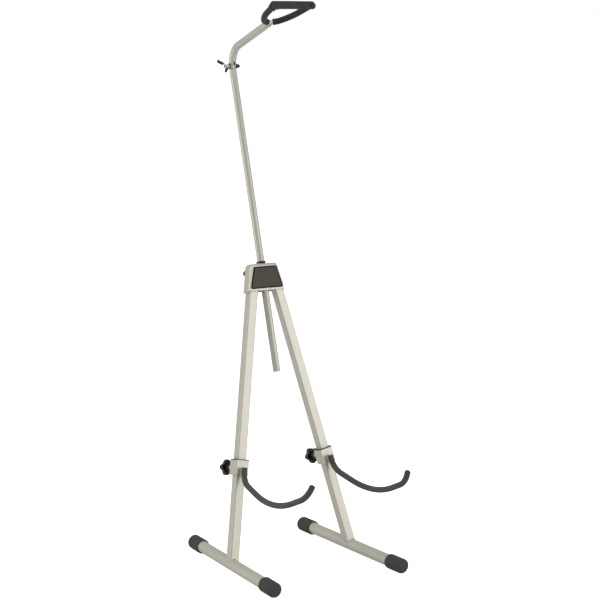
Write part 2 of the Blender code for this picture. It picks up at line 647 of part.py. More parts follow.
# ---- wing nut ---------------------------------------------------------------
radial = Vector((0, cos(WING_ANGLE), sin(WING_ANGLE)))
NUT = empty("wing_nut_frame", frame(HINGE_POS + Vector((-(W1 + GAP), 0, 0)), radial, (-1, 0, 0)))
nut = turned("wing_nut", [(4.6, 10.2), (5.4, 9.2), (6.6, 1.0), (6.4, 0), (BOLT_R + GAP, 0), (BOLT_R + GAP, 10.2)],
             NUT, mat=steel, steps=20, closed=True)
for sgn in (1, -1):
    web = [(sgn * r, a) for r, a in ((4.6, 1.2), (9.0, 1.6), (13.6, 4.6), (15.4, 9.4), (11.6, 11.0), (9.6, 8.2),
                                    (4.6, 9.0))]
    wing = prism(f"join_wing_{'a' if sgn > 0 else 'b'}", [web if sgn > 0 else web[::-1]], -1.5, 1.5, NUT,
                 rot=TO_FRONT, cutter=True)
    boolean(nut, wing, "UNION")
    nut_tip = rail(f"wing_tip_{'a' if sgn > 0 else 'b'}",
                   [(sgn * 14.3, 0, 11.2), (sgn * 18.0, 0, 14.2), (sgn * 23.0, 0, 17.6), (sgn * 27.6, 0, 20.2)],
                   3.1, NUT, mat=(BLACK, 0.5), resolution=2)
    bevel(nut_tip, 1.0, 1, 50)
nut_clear = turned("cut_nut_clear", disc(BOLT_R + GAP, -5, 15), NUT, steps=20, cutter=True)
boolean(nut, nut_clear)

# ---- neck arm ---------------------------------------------------------------
neck_path = [(0.0, -NECK_R), (0.0, 0.0), (0.0, NECK_LOW)]
k_bend = 7
for k in range(1, k_bend + 1):
    t = NECK_BEND * k / k_bend
    neck_path.append((-NECK_BEND_R * (1 - cos(t)), NECK_LOW + NECK_BEND_R * sin(t)))
turn = Vector((-sin(NECK_BEND), cos(NECK_BEND)))
bend_end = Vector(neck_path[-1])
yoke_mid = bend_end + turn * NECK_LONG
neck_end = bend_end + turn * (NECK_LONG - PAD_R - GAP - 0.4)
neck_path.append((neck_end.x, neck_end.y))
neck3 = [(0, y, z) for y, z in neck_path]
neck = rail("neck_arm_tube", neck3, NECK_R, ARM, mat=silver, resolution=5)
stretch = [Vector(neck3[0]) - Vector((0, 0, 5))] + [Vector(p) for p in neck3[1:]]
stretch[-1] = stretch[-1] + Vector((0, turn.x, turn.y)) * 5
neck_bore = rail("cut_neck_bore", stretch, NECK_R - TUBE_WALL, ARM, resolution=5, cutter=True)
boolean(neck, neck_bore)
ear = [(NECK_R + 3, 0.0), (NECK_R + 3, 260.0), (-300.0, 260.0), (-300.0, 0.0)]
ear += [(-NECK_R * cos(pi * k / 12), -NECK_R * sin(pi * k / 12)) for k in range(13)]
ear_keep = prism("keep_neck_ear", [ear[::-1]], -20, 20, ARM, rot=Matrix(((0, 0, 1), (1, 0, 0), (0, 1, 0))),
                 cutter=True)
boolean(neck, ear_keep, "INTERSECT")
slot = block("cut_neck_slot", (5.0, 30, 33.5), ARM, (0, 0, -3.25), cutter=True)
boolean(neck, slot)
bolt_cut_arm = turned("cut_bolt_arm", disc(BOLT_R + 0.1, -30, 30), ARM, (0, 0, 0), TO_RIGHT, steps=16, cutter=True)
boolean(neck, bolt_cut_arm)

# ---- yoke -------------------------------------------------------------------
# yoke frame: X to the right, Z forward along the arm's end, Y = Z x X
yoke_pos = ARM.matrix_world @ (Vector((0, yoke_mid.x, yoke_mid.y)) * MM)
fwd = (ARM.matrix_world.to_3x3() @ Vector((0, turn.x, turn.y))).normalized()
YOKE = empty("yoke_frame", frame(yoke_pos / MM, (1, 0, 0), fwd))
update()
PLUG_R = NECK_R - TUBE_WALL - GAP
turned("neck_arm_plug",
       [(0, -YOKE_R - GAP), (5.2, -YOKE_R - GAP), (6.4, -YOKE_R - 1.6), (6.4, -PAD_R - 1.2), (PLUG_R, -PAD_R - 1.6),
        (PLUG_R, -26), (0, -26)],
       YOKE, mat=silver, steps=24)
half = [(x, z) for x, z in bends(YOKE_BENDS)]
half_len = path_length(half)
both = [(-x, 0, z) for x, z in reversed(half[1:])] + [(x, 0, z) for x, z in half]
rail("yoke_bar", along(both, 8.0, path_length(both) - 8.0), YOKE_R, YOKE, mat=steel, resolution=2)
for tag, sgn in (("left", -1), ("right", 1)):
    line = [(sgn * x, 0, z) for x, z in half]
    covered = along(line, PAD_START, half_len - 2.5)
    pad = rail(f"yoke_pad_{tag}", covered, PAD_R, YOKE, mat=((0.07, 0.07, 0.07), 0.6))
    first = covered[0] - (covered[1] - covered[0]).normalized() * 3
    last = along(line, PAD_START, half_len - 7.0)
    pad_bore = rail(f"cut_pad_{tag}", [first] + last, YOKE_R + GAP, YOKE, resolution=2, cutter=True)
    boolean(pad, pad_bore)

# strap: a cuff on the left prong, a band across, an eye on the right prong's stud
tip_x, tip_z = half[-1]
head_x, head_z = Vector(half[-1]) - Vector(half[-2])
CUFF = empty("strap_cuff_frame", YOKE.matrix_world @ frame((-tip_x, 0, tip_z), (0, 1, 0), (-head_x, 0, head_z)))
cuff = turned("strap_cuff", ring(10.4, PAD_R + GAP, -14, -2.8, 0.6), CUFF, mat=((0.05, 0.05, 0.05), 0.5),
              steps=24, closed=True)
sh, st = STRAP_H / 2, STRAP_T / 2
STRAP_PIVOT_X = -38.3
fixed = [(STRAP_PIVOT_X - GAP, -sh), (STRAP_PIVOT_X - GAP, sh)]
fixed += [(-STRAP_END - sh * sin(pi * k / 12), sh * cos(pi * k / 12)) for k in range(13)]
tab = prism("join_strap_tab", [fixed], STRAP_AT - st, STRAP_AT + st, YOKE, cutter=True)
boolean(cuff, tab, "UNION")
link = block("join_strap_link", (3.6, STRAP_H, 8.0), YOKE, (STRAP_PIVOT_X - 2.3, 0, STRAP_AT - 4.5),
             cutter=True)
boolean(cuff, link, "UNION")
band = [(STRAP_PIVOT_X, sh), (STRAP_PIVOT_X, -sh)]
band += [(STRAP_END + sh * sin(pi * k / 12), -sh * cos(pi * k / 12)) for k in range(13)]
eye_loop = [(STRAP_HALF + 3.9 * cos(2 * pi * k / 16), 3.9 * sin(2 * pi * k / 16)) for k in range(16)]
strap = prism("strap_band", [band, eye_loop], STRAP_AT - st, STRAP_AT + st, YOKE, mat=((0.05, 0.05, 0.05), 0.5))
turned("strap_stud",
       [(0, STRAP_AT + st + 2.6), (2.6, STRAP_AT + st + 2.3), (3.5, STRAP_AT + st + 1.2), (3.5, STRAP_AT - st - GAP),
        (6.4, STRAP_AT - st - GAP), (6.4, STRAP_AT - st - 1.1), (0, STRAP_AT - st - 1.1)],
       YOKE, (STRAP_HALF, 0, 0), mat=steel, steps=16)

for ob in CUTTERS.objects:
    ob.hide_viewport = False
update()
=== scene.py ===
import json
from math import atan2, cos, exp, pi, radians, sin, sqrt, tan

import bmesh
import bpy
from mathutils import Matrix, Vector, noise

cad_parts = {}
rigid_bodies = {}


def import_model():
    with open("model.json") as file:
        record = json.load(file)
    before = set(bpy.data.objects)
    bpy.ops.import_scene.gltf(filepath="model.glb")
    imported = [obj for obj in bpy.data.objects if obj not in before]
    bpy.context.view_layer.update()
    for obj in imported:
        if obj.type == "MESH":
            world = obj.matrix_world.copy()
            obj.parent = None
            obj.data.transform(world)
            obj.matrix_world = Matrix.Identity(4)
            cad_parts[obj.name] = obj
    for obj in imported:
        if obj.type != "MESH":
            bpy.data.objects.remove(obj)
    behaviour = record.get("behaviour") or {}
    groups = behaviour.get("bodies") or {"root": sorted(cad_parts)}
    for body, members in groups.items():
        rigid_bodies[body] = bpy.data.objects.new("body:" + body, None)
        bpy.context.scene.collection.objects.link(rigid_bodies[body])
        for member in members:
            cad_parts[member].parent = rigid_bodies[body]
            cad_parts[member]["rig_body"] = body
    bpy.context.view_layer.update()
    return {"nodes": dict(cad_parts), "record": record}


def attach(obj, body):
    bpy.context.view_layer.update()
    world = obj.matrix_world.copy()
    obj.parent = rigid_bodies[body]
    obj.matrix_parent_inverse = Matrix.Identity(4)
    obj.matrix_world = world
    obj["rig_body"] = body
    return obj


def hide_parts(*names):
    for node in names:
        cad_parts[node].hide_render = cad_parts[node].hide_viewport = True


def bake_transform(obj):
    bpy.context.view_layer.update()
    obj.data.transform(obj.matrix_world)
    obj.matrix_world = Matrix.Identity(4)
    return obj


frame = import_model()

MM = 0.001

# ---- the stand's driving sizes, in millimetres -----------------------------
ORIGIN_Y = -3.5
LEAN, SPREAD = radians(11.95), radians(11.46)
FOOT_HALF, FOOT_R, CAP_R, FOOT_Z = 175.4, 15.0, 19.0, 18.6
FOOT_FRONT, FOOT_BACK, CAP_LEN, CAP_END = 234.5, 227.5, 56.0, 5.0
WALL = 1.5
LEG, LEG_CORNER, U_PIVOT, PIN_R = 25.0, 3.0, 711.0, 4.0
HEAD_TOP, HEAD_LOW, FACE_TOP, FACE_LOW = 750.0, 677.0, 745.0, 680.0
BACK_HALF_TOP, BACK_HALF_LOW, FACE_HALF_TOP, FACE_HALF_LOW = 39.2, 54.8, 37.4, 52.4
HEAD_BACK, HEAD_SEAM, HEAD_FACE, SHELL, SHEET = 18.0, 7.0, 15.0, 2.0, 1.6
PLATE_TOP, PLATE_LOW, PLATE_HALF_TOP, PLATE_HALF_LOW = 742.0, 685.6, 32.8, 48.3
LOCK_Z = 730.0 - U_PIVOT
ROD_LEAN, ROD_R, ROD_LOW, ROD_HINGE = radians(16.62), 9.5, -242.0, 562.6
HINGE_GAP = 10.8
CLAMP_LOW, CLAMP_TOP = 224.0, 262.0
SLEEVE_W, SLEEVE_D, SLEEVE_IN = 37.0, 35.0, 31.0
ARM_TOP, ARM_OFF, ARM_R, COVER_R = 243.5, 28.3, 5.0, 7.5
ARM_BENDS = ((8.1, 43.0, 67.0), (47.8, 302.0, 35.2), (38.5, 84.0, 40.9), (4.5, 0.0, 0.0))
KNOB_NEAR, KNOB_FAR = 55.0, 69.0
ARM_TILT = radians(9.6)
NECK_R, NECK_BEND_R, NECK_BEND, NECK_LOW, NECK_LONG = 9.5, 45.0, radians(60.4), 19.0, 175.0
YOKE_R, PAD_R, PAD_START = 5.0, 7.75, 7.0
YOKE_BENDS = ((0.0, 28.0, 58.0), (0.0, 150.0, 24.0), (46.0, 0.0, 0.0))
STRAP_HALF, STRAP_END, STRAP_H, STRAP_T, STRAP_AT, STRAP_PIVOT_X = 51.5, 54.0, 20.4, 3.0, 119.9, -38.3
BOLT_R = 3.0
WING_ANGLE = radians(29.5)

V = Vector


# ---- frames -----------------------------------------------------------------
def make_frame(origin, x, z):
    x, z = V(x).normalized(), V(z).normalized()
    y = z.cross(x).normalized()
    x = y.cross(z)
    m = Matrix((x, y, z)).transposed().to_4x4()
    m.translation = V(origin)
    return m


UP = V((0, sin(LEAN), cos(LEAN)))
FRONT = V((0, -cos(LEAN), sin(LEAN)))
CROSS = V((0, ORIGIN_Y, FOOT_Z)) + UP * U_PIVOT
HEAD = make_frame(CROSS, (1, 0, 0), UP)
ROD_UP = V((0, sin(ROD_LEAN), cos(ROD_LEAN)))
ROD = make_frame(CROSS, (1, 0, 0), ROD_UP)
HINGE = CROSS + ROD_UP * ROD_HINGE
ARM = make_frame(HINGE, (1, 0, 0), (0, -sin(ARM_TILT), cos(ARM_TILT)))


def turned_frame(base, loc, z, x=None):
    """A frame inside another, its Z along z (given in the base's axes)."""
    z = V(z).normalized()
    x = V(x) if x is not None else (V((1, 0, 0)) if abs(z.x) < 0.9 else V((0, 1, 0)))
    return base @ make_frame(loc, x - z * x.dot(z), z)


# ---- outlines and paths ------------------------------------------------------
def rounded(corners, radii, seg=6):
    pts, n = [], len(corners)
    for i, (p, r) in enumerate(zip(corners, radii)):
        p = V(p)
        a = (V(corners[i - 1]) - p).normalized()
        b = (V(corners[(i + 1) % n]) - p).normalized()
        half = a.angle(b) / 2
        c = p + (a + b).normalized() * (r / sin(half))
        s, e = p + a * (r / tan(half)) - c, p + b * (r / tan(half)) - c
        a0, a1 = atan2(s.y, s.x), atan2(e.y, e.x)
        d = (a1 - a0 + pi) % (2 * pi) - pi
        pts += [(c.x + r * cos(a0 + d * k / seg), c.y + r * sin(a0 + d * k / seg)) for k in range(seg + 1)]
    return pts


def box_outline(w, d, r, seg=6):
    """Rounded rectangle of half sizes w and d, counter-clockwise from the -y side."""
    return rounded([(w, -d), (w, d), (-w, d), (-w, -d)], [r] * 4, seg)


def trapezoid(half_top, half_low, top, low, r_top, r_low, seg=8, cuts=6):
    pts = rounded([(half_low, low - U_PIVOT), (half_top, top - U_PIVOT), (-half_top, top - U_PIVOT),
                   (-half_low, low - U_PIVOT)], [r_low, r_top, r_top, r_low], seg)
    out = []
    for i, p in enumerate(pts):
        out.append(p)
        if i in (seg, 3 * seg + 2):
            q = pts[i + 1]
            out += [(p[0] + (q[0] - p[0]) * k / (cuts + 1), p[1] + (q[1] - p[1]) * k / (cuts + 1))
                    for k in range(1, cuts + 1)]
    return out


def half_at(u, top, low, half_top, half_low):
    return half_low + (u - low) * (half_top - half_low) / (top - low)


def bends(spec, step=3.0, straight=6.0):
    a = b = ang = 0.0
    pts = [(0.0, 0.0)]
    for length, radius, turn in spec:
        if length > 0:
            k = max(1, round(length / straight))
            for i in range(1, k + 1):
                pts.append((a + length * cos(ang) * i / k, b + length * sin(ang) * i / k))
            a, b = a + length * cos(ang), b + length * sin(ang)
        if radius > 0 and turn:
            k = max(4, round(abs(turn) / step), round(radius * radians(abs(turn)) / 6.0))
            d = radians(turn) / k
            chord = 2 * radius * sin(abs(d) / 2)
            for _ in range(k):
                a, b = a + chord * cos(ang + d / 2), b + chord * sin(ang + d / 2)
                ang += d
                pts.append((a, b))
    return pts


def path_length(path):
    return sum((V(q) - V(p)).length for p, q in zip(path, path[1:]))


def along(path, start, end):
    out, run = [], 0.0
    for p, q in zip(path, path[1:]):
        p, q = V(p), V(q)
        seg = (q - p).length
        s0, s1 = max(start, run), min(end, run + seg)
        if s1 - s0 > 1e-6:
            if not out:
                out.append(p + (q - p) * ((s0 - run) / seg))
            out.append(p + (q - p) * ((s1 - run) / seg))
        run += seg
    return out


# ---- mesh building -----------------------------------------------------------
def new_object(name, bm, angle=32.0, weighted=False):
    bmesh.ops.remove_doubles(bm, verts=bm.verts, dist=2e-7)
    bmesh.ops.dissolve_degenerate(bm, edges=bm.edges, dist=1e-7)
    bmesh.ops.recalc_face_normals(bm, faces=bm.faces)
    me = bpy.data.meshes.new(name)
    bm.to_mesh(me)
    bm.free()
    me.shade_smooth()
    me.set_sharp_from_angle(angle=radians(angle))
    ob = bpy.data.objects.new(name, me)
    bpy.context.scene.collection.objects.link(ob)
    if weighted:
        weigh(ob)
    return ob


def weigh(ob):
    w = ob.modifiers.new("weighted", "WEIGHTED_NORMAL")
    w.keep_sharp, w.weight = True, 90


def add_rings(bm, rows, close=False, fan=(True, True), slot=0, flip=False):
    """Faces between rings of points in metres, with a fan in each open end."""
    rows = [[bm.verts.new(p) for p in row] for row in rows]
    n = len(rows[0])
    pairs = list(zip(rows, rows[1:])) + ([(rows[-1], rows[0])] if close else [])
    for a, b in pairs:
        for i in range(n):
            f = bm.faces.new((a[i], a[(i + 1) % n], b[(i + 1) % n], b[i]))
            f.material_index = slot
    if not close:
        for want, row in zip(fan, (rows[0], rows[-1])):
            if want:
                mid = V((0, 0, 0))
                for v in row:
                    mid += v.co
                mid = bm.verts.new(mid / n)
                for i in range(n):
                    bm.faces.new((row[i], row[(i + 1) % n], mid)).material_index = slot
    return rows


def place(m, pts, z):
    """Outline points at a height in a frame, in metres."""
    return [(m @ V((x, y, z))) * MM for x, y in pts]


def circle(r, n=64, start=0.0):
    return [(r * cos(start + 2 * pi * k / n), r * sin(start + 2 * pi * k / n)) for k in range(n)]


def lathe(name, profile, m, steps=64, closed=False, angle=32.0):
    """Profile of (radius, height) turned about a frame's Z. A radius of 0 ends it in a fan."""
    bm = bmesh.new()
    inner = [(r, z) for r, z in profile if r > 1e-6]
    add_rings(bm, [place(m, circle(r, steps), z) for r, z in inner], close=closed,
              fan=(profile[0][0] <= 1e-6, profile[-1][0] <= 1e-6))
    return new_object(name, bm, angle)


def arc(cx, cz, r, a0, a1, n=6):
    """Arc of a profile, angles in degrees from +r towards +z."""
    return [(cx + r * cos(radians(a0 + (a1 - a0) * k / n)), cz + r * sin(radians(a0 + (a1 - a0) * k / n)))
            for k in range(n + 1)]


def sweep_rows(pts, radius, side, sides=40, squash=1.0, wave=0.0, wave_size=18.0, seed=0.0, ends=(0.0, 0.0)):
    """Rings round a path in one plane (mm). 'side' is the plane's normal; ends are edge roundings."""
    pts = [V(p) for p in pts]
    side = V(side).normalized()
    total = path_length(pts)
    rows, run = [], 0.0
    for i, p in enumerate(pts):
        if i:
            run += (p - pts[i - 1]).length
        t = (pts[min(i + 1, len(pts) - 1)] - pts[max(i - 1, 0)]).normalized()
        up = t.cross(side).normalized()
        r = radius(run, total) if callable(radius) else radius
        row = []
        for k in range(sides):
            a = 2 * pi * k / sides
            d = side * cos(a) * squash + up * sin(a)
            rr = r
            if wave:
                rr += wave * noise.noise((p + d * r) / wave_size + V((seed, seed * 0.7, 3.1)))
            row.append((p + d * rr) * MM)
        rows.append((run, row, p, t, up, r))
    out = [q[1] for q in rows]
    # rounded edges at both ends
    for which, e in ((0, ends[0]), (-1, ends[1])):
        if e <= 0:
            continue
        run_, row, p, t, up, r = rows[which]
        sgn = -1.0 if which == 0 else 1.0
        lips = []
        for k in range(1, 6):
            a = radians(18 * k)
            scale = (r - e + e * cos(a)) / r
            shift = t * (sgn * e * sin(a)) * MM
            lips.append([p * MM + (q - p * MM) * scale + shift for q in row])
        out = (lips[::-1] + out) if which == 0 else (out + lips)
    return out


def trim(path, e0, e1):
    return along(path, e0, path_length(path) - e1)


def sweep(name, pts, radius, side, fan=(True, True), angle=40.0, **kw):
    bm = bmesh.new()
    add_rings(bm, sweep_rows(pts, radius, side, **kw), fan=fan)
    return new_object(name, bm, angle)


def boolean(ob, cutter, op="DIFFERENCE"):
    """Cuts at once, and removes the cutter."""
    m = ob.modifiers.new("cut", "BOOLEAN")
    m.operation, m.solver, m.object = op, "EXACT", cutter
    apply(ob)
    bpy.data.objects.remove(cutter, do_unlink=True)
    return ob


def apply(ob, angle=32.0):
    bpy.context.view_layer.update()
    dg = bpy.context.evaluated_depsgraph_get()
    me = bpy.data.meshes.new_from_object(ob.evaluated_get(dg))
    old = ob.data
    ob.modifiers.clear()
    ob.data = me
    bpy.data.meshes.remove(old)
    me.shade_smooth()
    me.set_sharp_from_angle(angle=radians(angle))
    return ob


def bevel(ob, width, segments=3, angle=35.0, smooth_angle=40.0, weighted=True):
    b = ob.modifiers.new("bevel", "BEVEL")
    b.width, b.segments, b.limit_method, b.angle_limit = width * MM, segments, "ANGLE", radians(angle)
    b.harden_normals = False
    apply(ob, smooth_angle)
    if weighted:
        weigh(ob)
    return ob


def prism(name, outline, z0, z1, m, hole=None):
    bm = bmesh.new()
    if hole is None:
        add_rings(bm, [place(m, outline, z0), place(m, outline, z1)])
    else:
        add_rings(bm, [place(m, outline, z0), place(m, outline, z1), place(m, hole, z1), place(m, hole, z0)],
                  close=True)
    return new_object(name, bm)


def cuboid(name, size, m):
    return prism(name, box_outline(size[0] / 2, size[1] / 2, 0.01, 1), -size[2] / 2, size[2] / 2, m)


def joined(name, obs, angle=40.0, weighted=False):
    """One object out of several, materials kept by order."""
    bm = bmesh.new()
    mats = []
    for ob in obs:
        base = len(mats)
        me = ob.data
        if me.materials:
            mats += list(me.materials)
        tmp = bmesh.new()
        tmp.from_mesh(me)
        for f in tmp.faces:
            f.material_index += base
        holder = bpy.data.meshes.new("tmp")
        tmp.to_mesh(holder)
        tmp.free()
        bm.from_mesh(holder)
        bpy.data.meshes.remove(holder)
    me = bpy.data.meshes.new(name)
    bmesh.ops.recalc_face_normals(bm, faces=bm.faces)
    bm.to_mesh(me)
    bm.free()
    for mt in mats:
        me.materials.append(mt)
    for ob in obs:
        bpy.data.objects.remove(ob, do_unlink=True)
    me.shade_smooth()
    me.set_sharp_from_angle(angle=radians(angle))
    out = bpy.data.objects.new(name, me)
    bpy.context.scene.collection.objects.link(out)
    if weighted:
        weigh(out)
    return out


# ---- materials -----------------------------------------------------------------
class Nodes:
    """Small helper for building a node material."""

    def __init__(self, name):
        self.m = bpy.data.materials.new(name)
        self.m.use_nodes = True
        self.t = self.m.node_tree
        self.b = self.t.nodes["Principled BSDF"]
        self.co = self.t.nodes.new("ShaderNodeTexCoord").outputs["Object"]

    def link(self, a, b):
        self.t.links.new(a, b)

    def noise(self, scale, detail=3.0, rough=0.5, stretch=None, distort=0.0):
        n = self.t.nodes.new("ShaderNodeTexNoise")
        n.inputs["Scale"].default_value = scale
        n.inputs["Detail"].default_value = detail
        n.inputs["Roughness"].default_value = rough
        n.inputs["Distortion"].default_value = distort
        src = self.co
        if stretch is not None:
            mp = self.t.nodes.new("ShaderNodeMapping")
            mp.inputs["Scale"].default_value = stretch
            self.link(src, mp.inputs["Vector"])
            src = mp.outputs["Vector"]
        self.link(src, n.inputs["Vector"])
        return n.outputs["Fac"]

    def cells(self, scale, feature="F1"):
        n = self.t.nodes.new("ShaderNodeTexVoronoi")
        n.feature = feature
        n.inputs["Scale"].default_value = scale
        self.link(self.co, n.inputs["Vector"])
        return n.outputs["Distance"]

    def ramp(self, src, stops):
        r = self.t.nodes.new("ShaderNodeValToRGB")
        e = r.color_ramp.elements
        while len(e) < len(stops):
            e.new(0.5)
        for s, (pos, col) in zip(e, stops):
            s.position = pos
            s.color = (*col, 1.0) if len(col) == 3 else col
        self.link(src, r.inputs["Fac"])
        return r.outputs["Color"]

    def span(self, src, lo, hi, a=0.3, b=0.7):
        """Maps a range of a factor to a range of values."""
        r = self.t.nodes.new("ShaderNodeMapRange")
        r.inputs["From Min"].default_value, r.inputs["From Max"].default_value = a, b
        r.inputs["To Min"].default_value, r.inputs["To Max"].default_value = lo, hi
        self.link(src, r.inputs["Value"])
        return r.outputs["Result"]

    def mix(self, fac, a, b, mode="MIX"):
        n = self.t.nodes.new("ShaderNodeMix")
        n.data_type, n.blend_type = "RGBA", mode
        for src, sock in ((fac, n.inputs[0]), (a, n.inputs[6]), (b, n.inputs[7])):
            if isinstance(src, (int, float)):
                sock.default_value = src
            elif isinstance(src, tuple):
                sock.default_value = (*src, 1.0)
            else:
                self.link(src, sock)
        return n.outputs[2]

    def math(self, op, a, b):
        n = self.t.nodes.new("ShaderNodeMath")
        n.operation = op
        for src, sock in ((a, n.inputs[0]), (b, n.inputs[1])):
            if isinstance(src, (int, float)):
                sock.default_value = src
            else:
                self.link(src, sock)
        return n.outputs[0]

    def bump(self, height, strength, distance, after=None):
        n = self.t.nodes.new("ShaderNodeBump")
        n.inputs["Strength"].default_value = strength
        n.inputs["Distance"].default_value = distance
        self.link(height, n.inputs["Height"])
        if after is not None:
            self.link(after, n.inputs["Normal"])
        self.link(n.outputs["Normal"], self.b.inputs["Normal"])
        return n.outputs["Normal"]

    def set(self, **kw):
        for k, v in kw.items():
            sock = self.b.inputs[k.replace("_", " ")]
            if isinstance(v, bpy.types.NodeSocket):
                self.link(v, sock)
            else:
                sock.default_value = (*v, 1.0) if isinstance(v, tuple) and len(v) == 3 else v
        return self


def paint(name="silver_coat", tone=(0.64, 0.618, 0.532)):
    """Satin champagne-silver powder coat: metal flake, soft blotches, orange peel."""
    n = Nodes(name)
    dark = tuple(c * 0.80 for c in tone)
    light = tuple(min(1.0, c * 1.14) for c in tone)
    flake = n.noise(2600.0, 2.0, 0.6)
    broad = n.noise(9.0, 3.0, 0.55)
    col = n.mix(n.span(flake, 0.0, 1.0, 0.35, 0.65), dark, light)
    warm = tuple(c * f for c, f in zip(tone, (1.03, 1.0, 0.93)))
    cool = tuple(c * f for c, f in zip(tone, (0.985, 1.0, 1.03)))
    tint = n.mix(n.span(broad, 0.0, 1.0), warm, cool)
    col = n.mix(0.45, col, tint)
    spots = n.noise(160.0, 2.0, 0.4)
    col = n.mix(n.span(spots, 0.0, 0.10, 0.62, 0.78), col, tuple(c * 0.7 for c in tone))
    n.set(Base_Color=col, Metallic=0.42, Roughness=n.span(n.noise(420.0, 3.0), 0.36, 0.50), Coat_Weight=0.12,
          Coat_Roughness=0.3)
    peel = n.noise(900.0, 2.0, 0.5)
    first = n.bump(peel, 0.35, 0.00006)
    n.bump(n.noise(2600.0, 1.0), 0.25, 0.00003, first)
    return n.m


def mottled_rubber():
    """Foot caps: dull dark rubber with a fine mottled grain and a little dust."""
    n = Nodes("cap_rubber")
    grain = n.noise(1100.0, 4.0, 0.65)
    cloud = n.noise(60.0, 4.0, 0.6)
    col = n.mix(n.span(grain, 0.0, 1.0, 0.33, 0.67), (0.034, 0.033, 0.032), (0.058, 0.056, 0.054))
    col = n.mix(n.span(cloud, 0.0, 0.45), col, (0.078, 0.075, 0.071))
    n.set(Base_Color=col, Roughness=n.span(cloud, 0.62, 0.80), Specular_IOR_Level=0.42)
    first = n.bump(grain, 0.5, 0.00018)
    n.bump(n.cells(700.0), 0.25, 0.0001, first)
    return n.m


def foam(name="foam_sleeve", tone=(0.054, 0.052, 0.048), shine=0.55, sheen=0.1):
    """Dense foam-rubber sleeve: closed pores, faint lengthways shading, soft sheen."""
    n = Nodes(name)
    pores = n.cells(1500.0)
    cloud = n.noise(35.0, 4.0, 0.6)
    fine = n.noise(1900.0, 3.0, 0.6)
    dark = tuple(c * 0.78 for c in tone)
    light = tuple(c * 1.22 for c in tone)
    col = n.mix(n.span(cloud, 0.0, 1.0), dark, light)
    col = n.mix(n.span(pores, 0.35, 0.0, 0.0, 0.35), col, tuple(c * 0.45 for c in tone))
    n.set(Base_Color=col, Roughness=n.span(fine, 0.52, 0.70), Specular_IOR_Level=shine, Sheen_Weight=sheen,
          Sheen_Roughness=0.45)
    first = n.bump(pores, 0.45, 0.00012)
    n.bump(fine, 0.35, 0.0001, first)
    return n.m


def black_moulding(name="black_moulding", tone=0.016, rough=(0.26, 0.42), shine=0.55):
    """Moulded black plastic: spark-eroded grain with slightly polished high spots."""
    n = Nodes(name)
    grain = n.noise(1700.0, 3.0, 0.6)
    wear = n.noise(95.0, 4.0, 0.65)
    col = n.mix(n.span(wear, 0.0, 0.6), (tone, tone, tone), (tone * 1.9, tone * 1.85, tone * 1.8))
    n.set(Base_Color=col, Roughness=n.span(wear, rough[1], rough[0]), Specular_IOR_Level=shine)
    n.bump(grain, 0.32, 0.00009)
    return n.m


def panel_grain():
    """Centre of the cover plate: warm dark grey with a fine leather-like grain."""
    n = Nodes("plate_panel")
    cells = n.cells(1250.0, "F1")
    cloud = n.noise(45.0, 3.0, 0.6)
    col = n.mix(n.span(cloud, 0.0, 1.0), (0.064, 0.057, 0.038), (0.078, 0.070, 0.048))
    col = n.mix(n.span(cells, 0.0, 0.35, 0.2, 0.6), col, (0.040, 0.035, 0.024))
    n.set(Base_Color=col, Roughness=n.span(cloud, 0.50, 0.62), Specular_IOR_Level=0.4)
    n.bump(cells, 0.4, 0.00012)
    return n.m


def strap_rubber():
    """Soft rubber strap: fine crossing weave pressed into the surface."""
    n = Nodes("strap_rubber")
    lines = n.noise(1500.0, 2.0, 0.5, stretch=(1.0, 0.25, 0.25))
    cross = n.noise(1500.0, 2.0, 0.5, stretch=(0.25, 1.0, 1.0))
    weave = n.math("MULTIPLY", lines, cross)
    cloud = n.noise(50.0, 3.0, 0.6)
    col = n.mix(n.span(cloud, 0.0, 1.0), (0.022, 0.022, 0.022), (0.036, 0.036, 0.036))
    n.set(Base_Color=col, Roughness=n.span(weave, 0.58, 0.42, 0.15, 0.35), Specular_IOR_Level=0.35, Sheen_Weight=0.05)
    n.bump(weave, 0.55, 0.0002)
    return n.m


def metal(name, tone, rough, stretch=(1.0, 1.0, 0.06), dirt=0.25):
    """Plated metal with fine turning marks and a little tarnish."""
    n = Nodes(name)
    marks = n.noise(2400.0, 3.0, 0.6, stretch=stretch)
    cloud = n.noise(140.0, 4.0, 0.6)
    col = n.mix(n.span(cloud, 0.0, dirt, 0.45, 0.75), tone, tuple(c * 0.55 for c in tone))
    n.set(Base_Color=col, Metallic=1.0, Roughness=n.span(marks, rough[0], rough[1]))
    n.bump(marks, 0.25, 0.00004)
    return n.m


PAINT = paint()
CAP = mottled_rubber()
FOAM = foam()
FOAM_TOP = foam("foam_yoke", (0.026, 0.026, 0.026), 0.3, 0.04)
BLACK = black_moulding()
RIM = black_moulding("plate_rim", 0.003, (0.55, 0.70), 0.12)
PANEL = panel_grain()
STRAP = strap_rubber()
ZINC = metal("zinc_plate", (0.62, 0.61, 0.58), (0.24, 0.40))
NICKEL = metal("bright_nickel", (0.80, 0.78, 0.74), (0.10, 0.22), dirt=0.12)
OXIDE = metal("black_oxide", (0.055, 0.05, 0.05), (0.28, 0.42))
MATS = {"silver_paint": PAINT, "plate": PANEL, "black_plastic": BLACK, "cap_rubber": CAP, "cover_foam": FOAM,
        "strap_rubber": STRAP, "steel": ZINC, "nickel": NICKEL, "black_oxide": OXIDE}
SLOT_OF = {s["node"]: s["material_slot"] for s in frame["record"]["subparts"]}
for node, ob in frame["nodes"].items():
    ob.data.materials.clear()
    ob.data.materials.append(MATS[SLOT_OF[node]])


